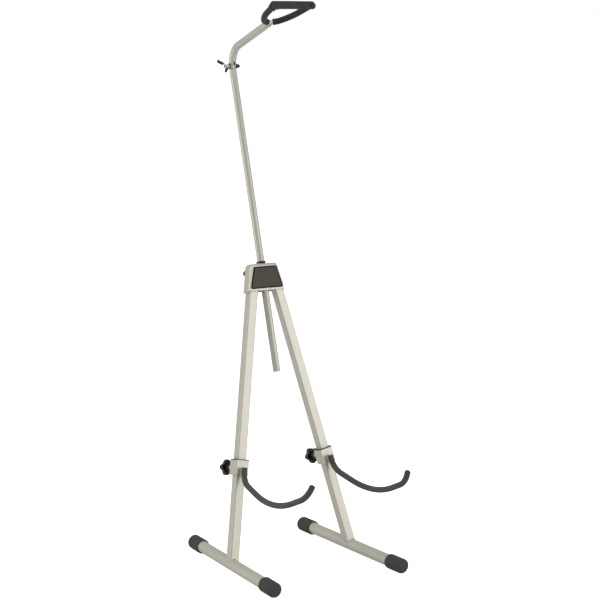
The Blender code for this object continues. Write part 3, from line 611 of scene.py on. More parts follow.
def finish_piece(ob, body, mat, slot=None, *nodes):
    """Gives a piece its material and its body, and hides the CAD nodes that it stands for."""
    if mat is not None:
        ob.data.materials.clear()
        ob.data.materials.append(mat)
    if nodes:
        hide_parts(*nodes)
        slot = slot or SLOT_OF[nodes[0]]
    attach(ob, body)
    return ob


def stand_in(ob, node, mat=None, body=None):
    """A fine piece for one CAD node, riding on that node's body."""
    owner = body or frame["nodes"][node]["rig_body"]
    return finish_piece(ob, owner, mat or MATS[SLOT_OF[node]], None, node)


# ---- camera and light -----------------------------------------------------------
cam = bpy.data.cameras.new("camera")
cam.sensor_fit, cam.sensor_width = "AUTO", 36.0
cam.lens = 1750.2 / 600 * 36.0
cam.shift_x, cam.shift_y = (300.0 - 298.48) / 600, (299.82 - 300.0) / 600
cam.clip_start, cam.clip_end = 0.05, 100.0
cam_ob = bpy.data.objects.new("camera", cam)
bpy.context.scene.collection.objects.link(cam_ob)
RIGHT, CUP, BACK = V((0.8582, -0.5133, 0.0016)), V((0.0791, 0.1353, 0.9876)), V((-0.5072, -0.8475, 0.1567))
BACK.normalize()
RIGHT = (RIGHT - BACK * RIGHT.dot(BACK)).normalized()
CUP = BACK.cross(RIGHT)
cm = Matrix((RIGHT, CUP, BACK)).transposed().to_4x4()
cm.translation = V((-2213.6, -3728.1 + ORIGIN_Y, 1367.1 - 0.4)) * MM
cam_ob.matrix_world = cm
bpy.context.scene.camera = cam_ob

scene = bpy.context.scene
scene.view_settings.view_transform = "Standard"


def area_light(name, loc, aim, size, power, color=(1, 1, 1)):
    l = bpy.data.lights.new(name, "AREA")
    l.shape, l.size, l.size_y, l.energy, l.color = "RECTANGLE", size[0], size[1], power, color
    o = bpy.data.objects.new(name, l)
    bpy.context.scene.collection.objects.link(o)
    d = V(aim) - V(loc)
    o.matrix_world = Matrix.Translation(V(loc)) @ d.to_track_quat("-Z", "Y").to_matrix().to_4x4()
    return o


LEFT = -RIGHT
AIM = V((0.0, 0.0, 0.75))
area_light("left_softbox", AIM + LEFT * 2.8 + BACK * 0.4 + V((0, 0, 0.5)), AIM, (1.4, 2.8), 24.0, (1.0, 0.99, 0.96))
area_light("right_softbox", AIM + V((1.7, -2.8, 0.4)), AIM, (1.5, 2.8), 34.0, (0.99, 0.99, 1.0))
area_light("top_softbox", V((-0.3, -0.5, 3.6)), AIM, (2.4, 2.4), 16.0)
sun = bpy.data.lights.new("floor_sun", "SUN")
sun.energy, sun.angle = 0.35, radians(60)
sun_ob = bpy.data.objects.new("floor_sun", sun)
bpy.context.scene.collection.objects.link(sun_ob)
sun_ob.matrix_world = (V((0.25, 0.45, -1.0))).to_track_quat("-Z", "Y").to_matrix().to_4x4()

world = bpy.data.worlds.new("studio")
scene.world = world
world.use_nodes = True
wt = world.node_tree
for nd in list(wt.nodes):
    wt.nodes.remove(nd)
out = wt.nodes.new("ShaderNodeOutputWorld")
bg = wt.nodes.new("ShaderNodeBackground")
bg.inputs["Color"].default_value = (1.0, 1.0, 1.0, 1.0)
bg.inputs["Strength"].default_value = 1.0
bg2 = wt.nodes.new("ShaderNodeBackground")
bg2.inputs["Color"].default_value = (0.97, 0.985, 1.0, 1.0)
wco = wt.nodes.new("ShaderNodeTexCoord")
wdot = wt.nodes.new("ShaderNodeVectorMath")
wdot.operation = "DOT_PRODUCT"
wdot.inputs[1].default_value = (-0.52, -0.84, 0.12)
wt.links.new(wco.outputs["Generated"], wdot.inputs[0])
wmap = wt.nodes.new("ShaderNodeMapRange")
wmap.interpolation_type = "SMOOTHSTEP"
wmap.inputs["From Min"].default_value, wmap.inputs["From Max"].default_value = 0.70, 0.93
wmap.inputs["To Min"].default_value, wmap.inputs["To Max"].default_value = 0.46, 0.08
wt.links.new(wdot.outputs["Value"], wmap.inputs["Value"])
wt.links.new(wmap.outputs["Result"], bg2.inputs["Strength"])
mixw = wt.nodes.new("ShaderNodeMixShader")
lp = wt.nodes.new("ShaderNodeLightPath")
wt.links.new(lp.outputs["Is Camera Ray"], mixw.inputs["Fac"])
wt.links.new(bg2.outputs[0], mixw.inputs[1])
wt.links.new(bg.outputs[0], mixw.inputs[2])
wt.links.new(mixw.outputs[0], out.inputs["Surface"])

bm = bmesh.new()
add_rings(bm, [[V((60 * cos(2 * pi * k / 96), 60 * sin(2 * pi * k / 96), -0.0006)) for k in range(96)]], fan=(True, False))
floor = new_object("floor", bm)
fm = bpy.data.materials.new("floor_white")
fm.use_nodes = True
fb = fm.node_tree.nodes["Principled BSDF"]
fb.inputs["Base Color"].default_value = (0.78, 0.78, 0.775, 1.0)
fb.inputs["Roughness"].default_value = 0.9
fb.inputs["Specular IOR Level"].default_value = 0.1
fb.inputs["Emission Color"].default_value = (1, 1, 1, 1)
fseen = fm.node_tree.nodes.new("ShaderNodeLightPath")
fmul = fm.node_tree.nodes.new("ShaderNodeMath")
fmul.operation = "MULTIPLY"
fmul.inputs[1].default_value = 0.93
fm.node_tree.links.new(fseen.outputs["Is Camera Ray"], fmul.inputs[0])
fm.node_tree.links.new(fmul.outputs[0], fb.inputs["Emission Strength"])
floor.data.materials.append(fm)


# ---- legs, feet and caps ----------------------------------------------------------
def side_frames(sd):
    down = (-UP * cos(SPREAD) + V((sd, 0, 0)) * sin(SPREAD)).normalized()
    foot = V((sd * FOOT_HALF, ORIGIN_Y, FOOT_Z))
    across = V((1, 0, 0)) * cos(SPREAD) + UP * sin(SPREAD) * sd
    leg = make_frame(foot, across, -down)
    toe = atan2(sin(LEAN) * tan(SPREAD), 1.0)
    ahead = V((sd * sin(toe), -cos(toe), 0))
    return leg, make_frame(foot, (0, 0, 1), ahead), ahead


def leg_piece(tag, sd):
    leg, foot, ahead = side_frames(sd)
    x_ax, y_ax, z_ax = (leg.to_3x3() @ V(a) for a in ((1, 0, 0), (0, 1, 0), (0, 0, 1)))
    a_z = z_ax.dot(ahead)

    def cope(x, y, gap=0.06):
        """Height in the leg's frame where its wall meets the round foot tube."""
        v = x_ax * x + y_ax * y
        va = v.dot(ahead)
        A, B, C = 1 - a_z * a_z, -va * a_z, v.length_squared - va * va - (FOOT_R + gap) ** 2
        return (-B + sqrt(max(0.0, B * B - A * C))) / A

    h, hi = LEG / 2, LEG / 2 - WALL
    s_pivot = U_PIVOT / cos(SPREAD)
    outer = box_outline(h, h, LEG_CORNER, 6)
    inner = box_outline(hi, hi, LEG_CORNER - WALL, 6)

    def dense(pts):
        out_ = []
        for i, p in enumerate(pts):
            q = pts[(i + 1) % len(pts)]
            out_.append(p)
            if (V(q) - V(p)).length > 6:
                k = 10
                out_ += [(p[0] + (q[0] - p[0]) * j / k, p[1] + (q[1] - p[1]) * j / k) for j in range(1, k)]
        return out_

    outer, inner = dense(outer), dense(inner)
    notch_at, notch_w = (-3.0, 4.5) if sd < 0 else (8.0, 3.6)

    def low(x, y):
        s = cope(x, y)
        if y < -h + 3.2:      # the front face's edge is left open a little beside the weld
            s += 1.9 * max(0.0, 1 - abs(x - notch_at) / notch_w)
        return s

    def high(x):
        return s_pivot + sqrt(max(0.0, (h + 0.02) ** 2 - min(abs(x), h) ** 2))

    def ring(pts, f):
        return [(leg @ V((x, y, f(x, y)))) * MM for x, y in pts]

    rows = [ring(outer, low)]
    for s in (60, 140, 240, 340, 440, 540, 640, s_pivot - 16):
        rows.append(ring(outer, lambda x, y: s))
    k = 10
    # the rounded top, in steps so that the curve stays smooth
    for j in range(1, k + 1):
        f = sin(radians(90 * j / k))
        rows.append(ring(outer, lambda x, y: s_pivot - 16 + (high(x) - s_pivot + 16) * f))
    rows.append(ring(inner, lambda x, y: high(x) - 0.2))
    rows.append(ring(inner, lambda x, y: s_pivot - 30))
    rows.append(ring(inner, low))
    bm = bmesh.new()
    add_rings(bm, rows, close=True)
    ob = new_object(f"leg_{tag}_tube_fine", bm, 32, weighted=True)
    # pivot hole
    pin = turned_frame(leg, (0, 0, s_pivot), (0, 1, 0))
    cutter = lathe("cutter", [(0, 26), (PIN_R + 0.1, 26), (PIN_R + 0.1, -26), (0, -26)], pin, 32)
    ob.modifiers.clear()
    boolean(ob, cutter)
    weigh(ob)
    stand_in(ob, f"leg_{tag}_tube")

    # weld bead where the leg stands on the foot, along both sides and the back
    bead = []
    path = [(p, low(*p)) for p in box_outline(h + 0.55, h + 0.55, LEG_CORNER + 0.5, 6)]
    pts2 = dense([p for p, _ in path])
    start = next(i for i, p in enumerate(pts2) if p[1] < 0 and p[0] > 0 and p[1] > -h)
    order = pts2[start:] + pts2[:start]
    order = [p for p in order if p[1] > -h + 0.6]
    line = [leg @ V((x, y, cope(min(max(x, -14.4), 14.4), y, 0.5))) for x, y in order]
    rows, n = [], 12
    for i, p in enumerate(line):
        t = (line[min(i + 1, len(line) - 1)] - line[max(i - 1, 0)]).normalized()
        ref = (p - leg @ V((0, 0, 10))).normalized()
        a = (ref - t * ref.dot(t)).normalized()
        b = t.cross(a)
        ripple = 1.55 + 0.28 * sin(i * 2.1) + 0.25 * noise.noise(p / 3.0)
        if i in (0, len(line) - 1):
            ripple = 0.25
        elif i in (1, len(line) - 2):
            ripple *= 0.7
        rows.append([(p + (a * cos(2 * pi * k / n) + b * sin(2 * pi * k / n)) * ripple) * MM for k in range(n)])
    bm = bmesh.new()
    add_rings(bm, rows)
    finish_piece(new_object(f"leg_{tag}_weld", bm, 60), f"leg_{tag}", PAINT, "silver_paint")

    # foot tube
    z0, z1 = -(FOOT_BACK - CAP_END - 0.3), FOOT_FRONT - CAP_END - 0.3
    prof = [(FOOT_R, z1)] + [(FOOT_R, z1 + (z0 - z1) * k / 12) for k in range(1, 12)] + [(FOOT_R, z0),
            (FOOT_R - WALL, z0), (FOOT_R - WALL, z1)]
    stand_in(lathe(f"foot_{tag}_tube_fine", prof, foot, 72, closed=True), f"foot_{tag}_tube")

    # caps, with the moulded flat underneath
    r, e = CAP_R, 6.5
    nose = [(r - e + e * sin(radians(a)), -e + e * cos(radians(a))) for a in range(0, 91, 9)]
    prof = [(0, 0), (4, 0.0), (9, 0.0)] + nose
    prof += [(r, -e - (CAP_LEN - e - 2) * k / 8) for k in range(1, 9)]
    prof += [(r - 0.15, -CAP_LEN + 0.9), (r - 0.6, -CAP_LEN + 0.3), (r - 1.2, -CAP_LEN), (FOOT_R + 0.9, -CAP_LEN),
             (FOOT_R + 0.3, -CAP_LEN + 0.7), (FOOT_R + 0.3, -CAP_END), (0, -CAP_END)]
    for end, z, flip in (("front", FOOT_FRONT, 1), ("back", -FOOT_BACK, -1)):
        m = foot @ make_frame((0, 0, z), (1, 0, 0), (0, 0, flip))
        cap = lathe(f"foot_{tag}_cap_{end}_fine", prof, m, 96, angle=50)
        seed = V((sd * 2.0, flip * 3.0, 1.0))
        for v in cap.data.vertices:
            # the soft moulding is never quite round
            d = v.co - (m @ V((0, 0, (m.inverted() @ (v.co / MM)).z))) * MM
            if d.length > 0.0165:
                v.co += d.normalized() * 0.00012 * noise.noise(v.co * 90 + seed) - d.normalized() * 0.0001
            v.co.z = max(v.co.z, 0.0)
        stand_in(cap, f"foot_{tag}_cap_{end}")
    return leg


def clamp_piece(tag, sd, leg):
    """Sleeve, liner flange, nut, screw, knob, lug, bar, cover and plug of one clamp."""
    w, d, b = SLEEVE_W / 2, SLEEVE_D / 2, SLEEVE_IN / 2
    body = f"clamp_{tag}"
    sleeve = prism(f"clamp_{tag}_sleeve_fine", box_outline(w, d, 2.6, 8), CLAMP_LOW, CLAMP_TOP, leg,
                   box_outline(b, b, 1.2, 8))
    bevel(sleeve, 0.45, 3, 60)
    stand_in(sleeve, f"clamp_{tag}_sleeve")
    # liner: walls inside, thin flange on top
    fw, fd = w + 0.8, d + 0.8
    li = 12.7
    rows = [place(leg, box_outline(15.2, 15.2, 1.2, 6), CLAMP_LOW + 0.5),
            place(leg, box_outline(15.2, 15.2, 1.2, 6), CLAMP_TOP + 0.3),
            place(leg, box_outline(fw - 0.35, fd - 0.35, 2.4, 6), CLAMP_TOP + 0.3),
            place(leg, box_outline(fw, fd, 2.7, 6), CLAMP_TOP + 0.6),
            place(leg, box_outline(fw, fd, 2.7, 6), CLAMP_TOP + 1.9),
            place(leg, box_outline(fw - 0.35, fd - 0.35, 2.4, 6), CLAMP_TOP + 2.2),
            place(leg, box_outline(li, li, 2.8, 6), CLAMP_TOP + 2.2),
            place(leg, box_outline(li, li, 2.8, 6), CLAMP_LOW + 0.5)]
    bm = bmesh.new()
    add_rings(bm, rows, close=True)
    stand_in(new_object(f"clamp_{tag}_liner_fine", bm, 32, True), f"clamp_{tag}_liner")

    mid = (CLAMP_LOW + CLAMP_TOP) / 2
    back = leg @ make_frame((0, 0, mid), (1, 0, 0), (0, 1, 0))
    nut_and_knob(f"clamp_{tag}", back, d + 0.3, 30.0, LEG / 2 + 0.4, pi)

    # arm: welded lug, bar, foam cover, end plug
    plane = [(0.0, -(ARM_OFF + q), ARM_TOP - p) for p, q in bends(ARM_BENDS, 2.5, 5.0)]
    path = [leg @ V(p) for p in plane]
    total = path_length(path)
    normal = leg.to_3x3() @ V((1, 0, 0))
    bar = sweep(f"arm_{tag}_bar_fine", along(path, 1.2, total - 8.6), ARM_R, normal, sides=32, ends=(0.6, 0.6))
    stand_in(bar, f"arm_{tag}_bar")
    cover_path = along(path, 0.9, total - 3.2)
    outer = sweep_rows(cover_path, lambda s, t: COVER_R - 0.1 * exp(-(s / 6.0) ** 2), normal, sides=48, wave=0.16,
                       wave_size=26.0, seed=sd * 3.0, ends=(0.9, 0.9))
    # bores at both ends, so that the sleeve reads as a tube round its bar
    first, last = cover_path[0], cover_path[-1]
    t0 = (cover_path[1] - first).normalized()
    t1 = (last - cover_path[-2]).normalized()

    def disc_row(p, t, r):
        up = t.cross(normal).normalized()
        return [(p + (normal * cos(2 * pi * k / 48) + up * sin(2 * pi * k / 48)) * r) * MM for k in range(48)]

    rows = [disc_row(first + t0 * 6, t0, ARM_R + 0.3), disc_row(first - t0 * 0.9, t0, ARM_R + 0.3)] + outer
    rows += [disc_row(last + t1 * 0.9, t1, ARM_R + 0.3), disc_row(last - t1 * 3, t1, ARM_R + 0.3)]
    bm = bmesh.new()
    add_rings(bm, rows)
    cover = new_object(f"arm_{tag}_cover_fine", bm, 50)
    stand_in(cover, f"arm_{tag}_cover")
    tip = turned_frame(Matrix.Identity(4), path[-1], path[-1] - path[-2], normal)
    plug = [(0, 0.15), (3.2, 0.1), (5.2, -0.35), (6.6, -0.9), (7.25, -1.55), (7.3, -2.0), (4.6, -2.0), (4.6, -7.4),
            (0, -7.4)]
    stand_in(lathe(f"arm_{tag}_end_plug_fine", plug, tip, 48, angle=60), f"arm_{tag}_end_plug")
    # lug with its weld fillets, one painted piece
    y_in, y_out = d + 0.1, ARM_OFF - ARM_R + 0.4
    z_in, z_out = CLAMP_LOW + 1.5, ARM_TOP - 3.0
    bm = bmesh.new()
    rows = []
    for k in range(9):
        f = k / 8
        y = y_in + (y_out - y_in) * f
        flare = 2.2 * (1 - f) ** 2.5 + 0.8 * f ** 3
        grow = 1.2 * (1 - f) ** 2.5
        rows.append([(leg @ V((x, -y, (z_in + z_out) / 2 + z))) * MM
                     for x, z in box_outline(3.0 + flare, (z_out - z_in) / 2 + grow, 1.6, 6)])
    add_rings(bm, rows)
    stand_in(new_object(f"arm_{tag}_lug_fine", bm, 40), f"arm_{tag}_lug")


def star(theta, phase, shrink=0.0, r0=19.0, wave=2.3):
    c = cos(5 * (theta - phase))
    # lobes a little fuller than a plain wave
    r = r0 + wave * (c + 0.10 * (1 - c * c)) - shrink
    return r * cos(theta), r * sin(theta)


def nut_and_knob(name, back, nut_from, nut_to, tip, phase):
    """Welded nut, screw and hollow five-lobed knob; 'back' has its Z away from the leg."""
    knob_node = f"{name}_knob"
    e = 1.2
    nut = [(8.5 + (0.5 if name == "head" else 0.0) - e, nut_to)] + \
          [(8.5 + (0.5 if name == "head" else 0.0) - e + e * sin(radians(a)), nut_to - e + e * cos(radians(a)))
           for a in (30, 60, 90)] + \
          [(8.5 + (0.5 if name == "head" else 0.0), nut_from + 2.4), (9.6, nut_from + 0.9), (10.4, nut_from),
           (4.3, nut_from), (4.3, nut_to)]
    nut_name = f"{name}_nut" if name != "head" else "head_lock_nut"
    stand_in(lathe(f"{nut_name}_fine", nut, back, 48, closed=True), nut_name)
    # screw with a rolled thread
    screw_prof = [(0, KNOB_NEAR + 7.4), (4.0, KNOB_NEAR + 7.4)]
    z = KNOB_NEAR - 5.0
    while z > tip + 2.2:
        screw_prof += [(4.0, z), (3.45, z - 0.5)]
        z -= 1.0
    screw_prof += [(3.9, z), (3.2, tip + 0.6), (2.6, tip), (0, tip)]
    stand_in(lathe(f"{knob_node}_screw_fine", screw_prof, back, 32, angle=80), f"{knob_node}_screw")
    # knob
    n = 150
    angles = [2 * pi * k / n for k in range(n)]

    def lobes(s):
        return [star(t, phase, s) for t in angles]

    def circ(r):
        return [(r * cos(t), r * sin(t)) for t in angles]

    rim = 2.0
    rows = [(circ(3.0), KNOB_FAR - 0.9), (circ(6.5), KNOB_FAR - 0.7), (circ(8.4), KNOB_FAR - 0.15), (circ(9.2), KNOB_FAR)]
    rows += [(lobes(rim + 1.4), KNOB_FAR)]
    rows += [(lobes(rim - rim * sin(radians(a))), KNOB_FAR - rim + rim * cos(radians(a))) for a in (12, 30, 48, 66, 90)]
    rows += [(lobes(0), KNOB_NEAR + 4), (lobes(0.1), KNOB_NEAR + 1.0), (lobes(0.5), KNOB_NEAR + 0.3), (lobes(1.0), KNOB_NEAR),
             (lobes(2.0), KNOB_NEAR), (lobes(2.4), KNOB_NEAR + 0.35), (lobes(2.8), KNOB_FAR - 4.6),
             (lobes(3.6), KNOB_FAR - 3.2),
             (circ(9.2), KNOB_FAR - 3.2), (circ(8.7), KNOB_FAR - 3.9), (circ(8.3), KNOB_NEAR - 4.2), (circ(7.7), KNOB_NEAR - 4.9),
             (circ(4.9), KNOB_NEAR - 5.0), (circ(4.3), KNOB_NEAR - 4.5), (circ(4.3), KNOB_NEAR + 7.5)]
    bm = bmesh.new()
    add_rings(bm, [place(back, pts, z) for pts, z in rows])
    body = new_object("knob_body", bm, 42)
    ribs = []
    for k in range(5):
        for off, reach in ((0.0, 17.0), (pi / 5, 11.0)):
            a = phase + 2 * pi * k / 5 + off
            r0, r1 = 8.0, reach + 1.2
            t = 0.75
            c, s = cos(a), sin(a)
            quad = [(r0 * c + t * s, r0 * s - t * c), (r1 * c + t * s, r1 * s - t * c),
                    (r1 * c - t * s, r1 * s + t * c), (r0 * c - t * s, r0 * s + t * c)]
            ribs.append(prism("rib", quad, KNOB_NEAR + 1.6, KNOB_FAR - 2.6, back))
    knob = joined(f"{knob_node}_fine", [body] + ribs, 42)
    stand_in(knob, knob_node)


LEG_FRAMES = {}
for tag, sd in (("left", -1), ("right", 1)):
    LEG_FRAMES[tag] = leg_piece(tag, sd)
    clamp_piece(tag, sd, LEG_FRAMES[tag])

# ---- head bracket ------------------------------------------------------------------
FACE = HEAD @ make_frame((0, 0, 0), (1, 0, 0), (0, -1, 0))   # Z out of the front; its Y points up
OPEN_LOW = 655.0
back_in_low = half_at(OPEN_LOW, HEAD_TOP, HEAD_LOW, BACK_HALF_TOP, BACK_HALF_LOW) - SHELL
face_in_low = half_at(OPEN_LOW, FACE_TOP, FACE_LOW, FACE_HALF_TOP, FACE_HALF_LOW) - SHEET


def ring_stack(name, rings, angle=32.0, close=False):
    bm = bmesh.new()
    add_rings(bm, [place(FACE, pts, z) for pts, z in rings], close=close)
    return new_object(name, bm, angle)


def back_outline(s):
    return trapezoid(BACK_HALF_TOP - s, BACK_HALF_LOW - s, HEAD_TOP - s, HEAD_LOW + s * 0.35, max(9 - s, 1.0), max(3 - s, 0.5))


ROUND = 3.0
rings = [(back_outline(0), HEAD_SEAM - 1.1)]
rings += [(back_outline(0), 3.0), (back_outline(0), -6.0)]
rings += [(back_outline(ROUND - ROUND * cos(radians(a))), -HEAD_BACK + ROUND - ROUND * sin(radians(a)))
          for a in range(0, 91, 15)]
back_shell = ring_stack("head_back_shell_fine", rings)
room = ring_stack("cutter", [(trapezoid(BACK_HALF_TOP - SHELL, back_in_low, HEAD_TOP - SHELL, OPEN_LOW, 7, 1), HEAD_SEAM + 10),
                             (trapezoid(BACK_HALF_TOP - SHELL, back_in_low, HEAD_TOP - SHELL, OPEN_LOW, 7, 1), -HEAD_BACK + SHELL + 1.2),
                             (trapezoid(BACK_HALF_TOP - SHELL - 1.2, back_in_low - 1.2, HEAD_TOP - SHELL - 1.2, OPEN_LOW, 6, 1), -HEAD_BACK + SHELL)])
boolean(back_shell, room)
rings = [(trapezoid(BACK_HALF_TOP, BACK_HALF_LOW, HEAD_TOP, HEAD_LOW, 9, 3), HEAD_SEAM)]
face_round = 1.6
side_steps = 5
lo_pts = trapezoid(BACK_HALF_TOP, BACK_HALF_LOW, HEAD_TOP, HEAD_LOW, 9, 3)
hi_pts = trapezoid(FACE_HALF_TOP, FACE_HALF_LOW, FACE_TOP, FACE_LOW, 6, 4)
for k in range(1, side_steps + 1):
    f = 0.84 * k / side_steps
    rings.append(([(a[0] + (b[0] - a[0]) * f, a[1] + (b[1] - a[1]) * f) for a, b in zip(lo_pts, hi_pts)],
                  HEAD_SEAM + (HEAD_FACE - HEAD_SEAM) * f))


def face_outline(s):
    return trapezoid(FACE_HALF_TOP - s, FACE_HALF_LOW - s, FACE_TOP - s, FACE_LOW + s, max(6 - s, 1), max(4 - s, 1))


rings += [(face_outline(0.35), HEAD_FACE - 0.55), (face_outline(0.8), HEAD_FACE - 0.18), (face_outline(1.5), HEAD_FACE)]
front_shell = ring_stack("head_front_shell_fine", rings)
room = ring_stack("cutter", [(trapezoid(BACK_HALF_TOP - SHEET, back_in_low, HEAD_TOP - SHEET, OPEN_LOW, 7.4, 1), HEAD_SEAM - 1),
                             (trapezoid(FACE_HALF_TOP - SHEET, face_in_low + 0.6, FACE_TOP - SHEET, OPEN_LOW, 4.4, 1), HEAD_FACE - SHEET)])
boolean(front_shell, room)
for shell, hole_front in ((back_shell, False), (front_shell, True)):
    cut = lathe("cutter", [(0, 60), (11.2, 60), (11.2, 20), (0, 20)], ROD, 48)
    boolean(shell, cut)
    for sd in (-1, 1):
        pin_x = sd * (FOOT_HALF - U_PIVOT * tan(SPREAD))
        cut = lathe("cutter", [(0, 25), (PIN_R + 0.1, 25), (PIN_R + 0.1, -25), (0, -25)],
                    HEAD @ make_frame((pin_x, 0, 0), (1, 0, 0), (0, 1, 0)), 32)
        boolean(shell, cut)
LOCK = HEAD @ make_frame((0, 0, LOCK_Z), (1, 0, 0), (0, 1, 0))
boolean(back_shell, lathe("cutter", [(0, 30), (4.6, 30), (4.6, 10), (0, 10)], LOCK, 32))
for shell in (back_shell, front_shell):
    b = shell.modifiers.new("bevel", "BEVEL")
    b.width, b.segments, b.limit_method, b.angle_limit = 0.35 * MM, 2, "ANGLE", radians(50)
    apply(shell, 34)
    weigh(shell)
stand_in(back_shell, "head_back_shell")
stand_in(front_shell, "head_front_shell")


# cover plate: near-black raised rim round a grained panel
def plate_outline(s):
    return trapezoid(PLATE_HALF_TOP - s, PLATE_HALF_LOW - s * 1.05, PLATE_TOP - s, PLATE_LOW + s, max(5 - s, 0.8), max(5 - s, 0.8))


P0 = HEAD_FACE + 0.3
rim_rows = [(plate_outline(0.5), P0), (plate_outline(0.05), P0 + 0.4), (plate_outline(0), P0 + 1.3), (plate_outline(0.35), P0 + 1.95),
            (plate_outline(0.9), P0 + 2.3), (plate_outline(1.7), P0 + 2.4), (plate_outline(2.4), P0 + 2.25),
            (plate_outline(2.9), P0 + 1.75)]
panel_rows = [(plate_outline(2.9), P0 + 1.75), (plate_outline(3.3), P0 + 1.6), (plate_outline(6.0), P0 + 1.62),
              (plate_outline(12.0), P0 + 1.7), (plate_outline(20.0), P0 + 1.78)]
bm = bmesh.new()
add_rings(bm, [place(FACE, p, z) for p, z in rim_rows], fan=(True, False), slot=0)
add_rings(bm, [place(FACE, p, z) for p, z in panel_rows], fan=(False, True), slot=1)
plate = new_object("head_cover_plate_fine", bm, 50)
plate.data.materials.append(RIM)
plate.data.materials.append(PANEL)
finish_piece(plate, "head", None, None, "head_cover_plate")

# collar round the rod, rivets, lock nut, screw and knob
bt = (HEAD_TOP - U_PIVOT) / cos(ROD_LEAN - LEAN)
bush = [(10.3, bt + 5.2)] + [(11.4 + 0.8 * sin(radians(a)), bt + 4.4 + 0.8 * cos(radians(a))) for a in (0, 30, 60, 90)] + \
       [(12.2, bt + 1.7), (11.9, bt + 1.4), (10.9, bt + 1.4), (10.9, bt - 9), (9.6, bt - 9), (9.6, bt + 4.6)]
stand_in(lathe("head_upper_bush_fine", bush, ROD, 64, closed=True), "head_upper_bush")
for sd, tag in ((-1, "left"), (1, "right")):
    pin_x = sd * (FOOT_HALF - U_PIVOT * tan(SPREAD))
    m = HEAD @ make_frame((pin_x, 0, 0), (1, 0, 0), (0, 1, 0))
    hb = HEAD_BACK + 0.3
    prof = [(0, hb + 2.9), (2.0, hb + 3.2), (3.6, hb + 3.0), (5.2, hb + 2.3), (6.4, hb + 1.2), (7.0, hb + 0.3), (7.0, hb),
            (PIN_R, hb), (PIN_R, -HEAD_FACE + 0.1), (0, -HEAD_FACE + 0.1)]
    stand_in(lathe(f"head_pivot_pin_{tag}_fine", prof, m, 48, angle=50), f"head_pivot_pin_{tag}")
nut_and_knob("head", LOCK, HEAD_BACK + 0.3, 30.0, 11.7, pi)

# ---- rod and its joint -------------------------------------------------------------
top = ROD_HINGE - HINGE_GAP
prof = [(ROD_R - 0.5, top), (ROD_R - 0.15, top - 0.15), (ROD_R, top - 0.5)]
prof += [(ROD_R, top + (ROD_LOW - top) * k / 24) for k in range(1, 24)]
prof += [(ROD_R, ROD_LOW + 0.5), (ROD_R - 0.15, ROD_LOW + 0.15), (ROD_R - 0.5, ROD_LOW), (ROD_R - WALL, ROD_LOW), (ROD_R - WALL, top)]
stand_in(lathe("rod_tube_fine", prof, ROD, 72, closed=True), "rod_tube")
W0 = NECK_R + 0.3
W1 = W0 + 2.4
TO_R = ROD @ make_frame((0, 0, ROD_HINGE), (0, 1, 0), (1, 0, 0))
for tag, sgn in (("left", -1), ("right", 1)):
    m = ROD @ make_frame((0, 0, ROD_HINGE), (0, 1, 0), (sgn, 0, 0))
    prof = [(6.7, W1), (7.1, W1 - 0.25), (7.2, W1 - 0.6), (7.2, W0 + 0.5), (7.0, W0), (3.3, W0), (3.3, W1)]
    stand_in(lathe(f"hinge_washer_{tag}_fine", prof, m, 48, closed=True), f"hinge_washer_{tag}")
# bolt: flanged head, threaded far end
hexa = []
shank = [(0, W1 + 8.4), (2.2, W1 + 8.4), (2.4, W1 + 7.9), (4.2, W1 + 7.9), (4.6, W1 + 7.2), (4.6, W1 + 2.6), (5.2, W1 + 2.2),
         (5.6, W1 + 1.7), (5.6, W1 + 0.3), (BOLT_R, W1 + 0.3), (BOLT_R, -W1 - 0.5)]
z = -W1 - 0.5
while z > -W1 - 10.0:
    shank += [(BOLT_R, z), (BOLT_R - 0.4, z - 0.4)]
    z -= 0.8
shank += [(BOLT_R - 0.3, -W1 - 10.6), (2.2, -W1 - 11.1), (0, -W1 - 11.1)]
stand_in(lathe("hinge_bolt_fine", shank, TO_R, 48, angle=60), "hinge_bolt")

# wing nut
radial = V((0, cos(WING_ANGLE), sin(WING_ANGLE)))
NUT = make_frame(HINGE + V((-(W1 + 0.3), 0, 0)), radial, (-1, 0, 0))
prof = [(4.0, 10.2), (4.8, 10.0), (5.3, 9.3), (5.7, 6.5), (6.3, 1.6), (6.6, 0.8), (6.4, 0), (3.3, 0), (3.3, 9.6)]
hub = lathe("nut_hub", prof, NUT, 48, closed=True)
webs = []
for sgn in (1, -1):
    # a wing's bright root: a flattened strip that thins and turns outwards
    centre = [(3.6, 4.6), (7.0, 4.4), (10.2, 5.8), (13.0, 8.6), (15.2, 11.6)]
    half = [4.3, 3.6, 3.0, 2.7, 2.5]
    thick = [1.7, 1.6, 1.5, 1.5, 1.6]
    rows = []
    for i, (r, a) in enumerate(centre):
        q = centre[min(i + 1, 4)], centre[max(i - 1, 0)]
        t = V((q[0][0] - q[1][0], q[0][1] - q[1][1])).normalized()
        nrm = V((-t.y, t.x))
        rows.append([(NUT @ V((sgn * (r + nrm.x * half[i] * cos(2 * pi * k / 20)), thick[i] * sin(2 * pi * k / 20),
                               a + nrm.y * half[i] * cos(2 * pi * k / 20)))) * MM for k in range(20)])
    bm = bmesh.new()
    add_rings(bm, rows)
    webs.append(new_object("nut_web", bm, 50))
stand_in(joined("wing_nut_fine", [hub] + webs, 45), "wing_nut")
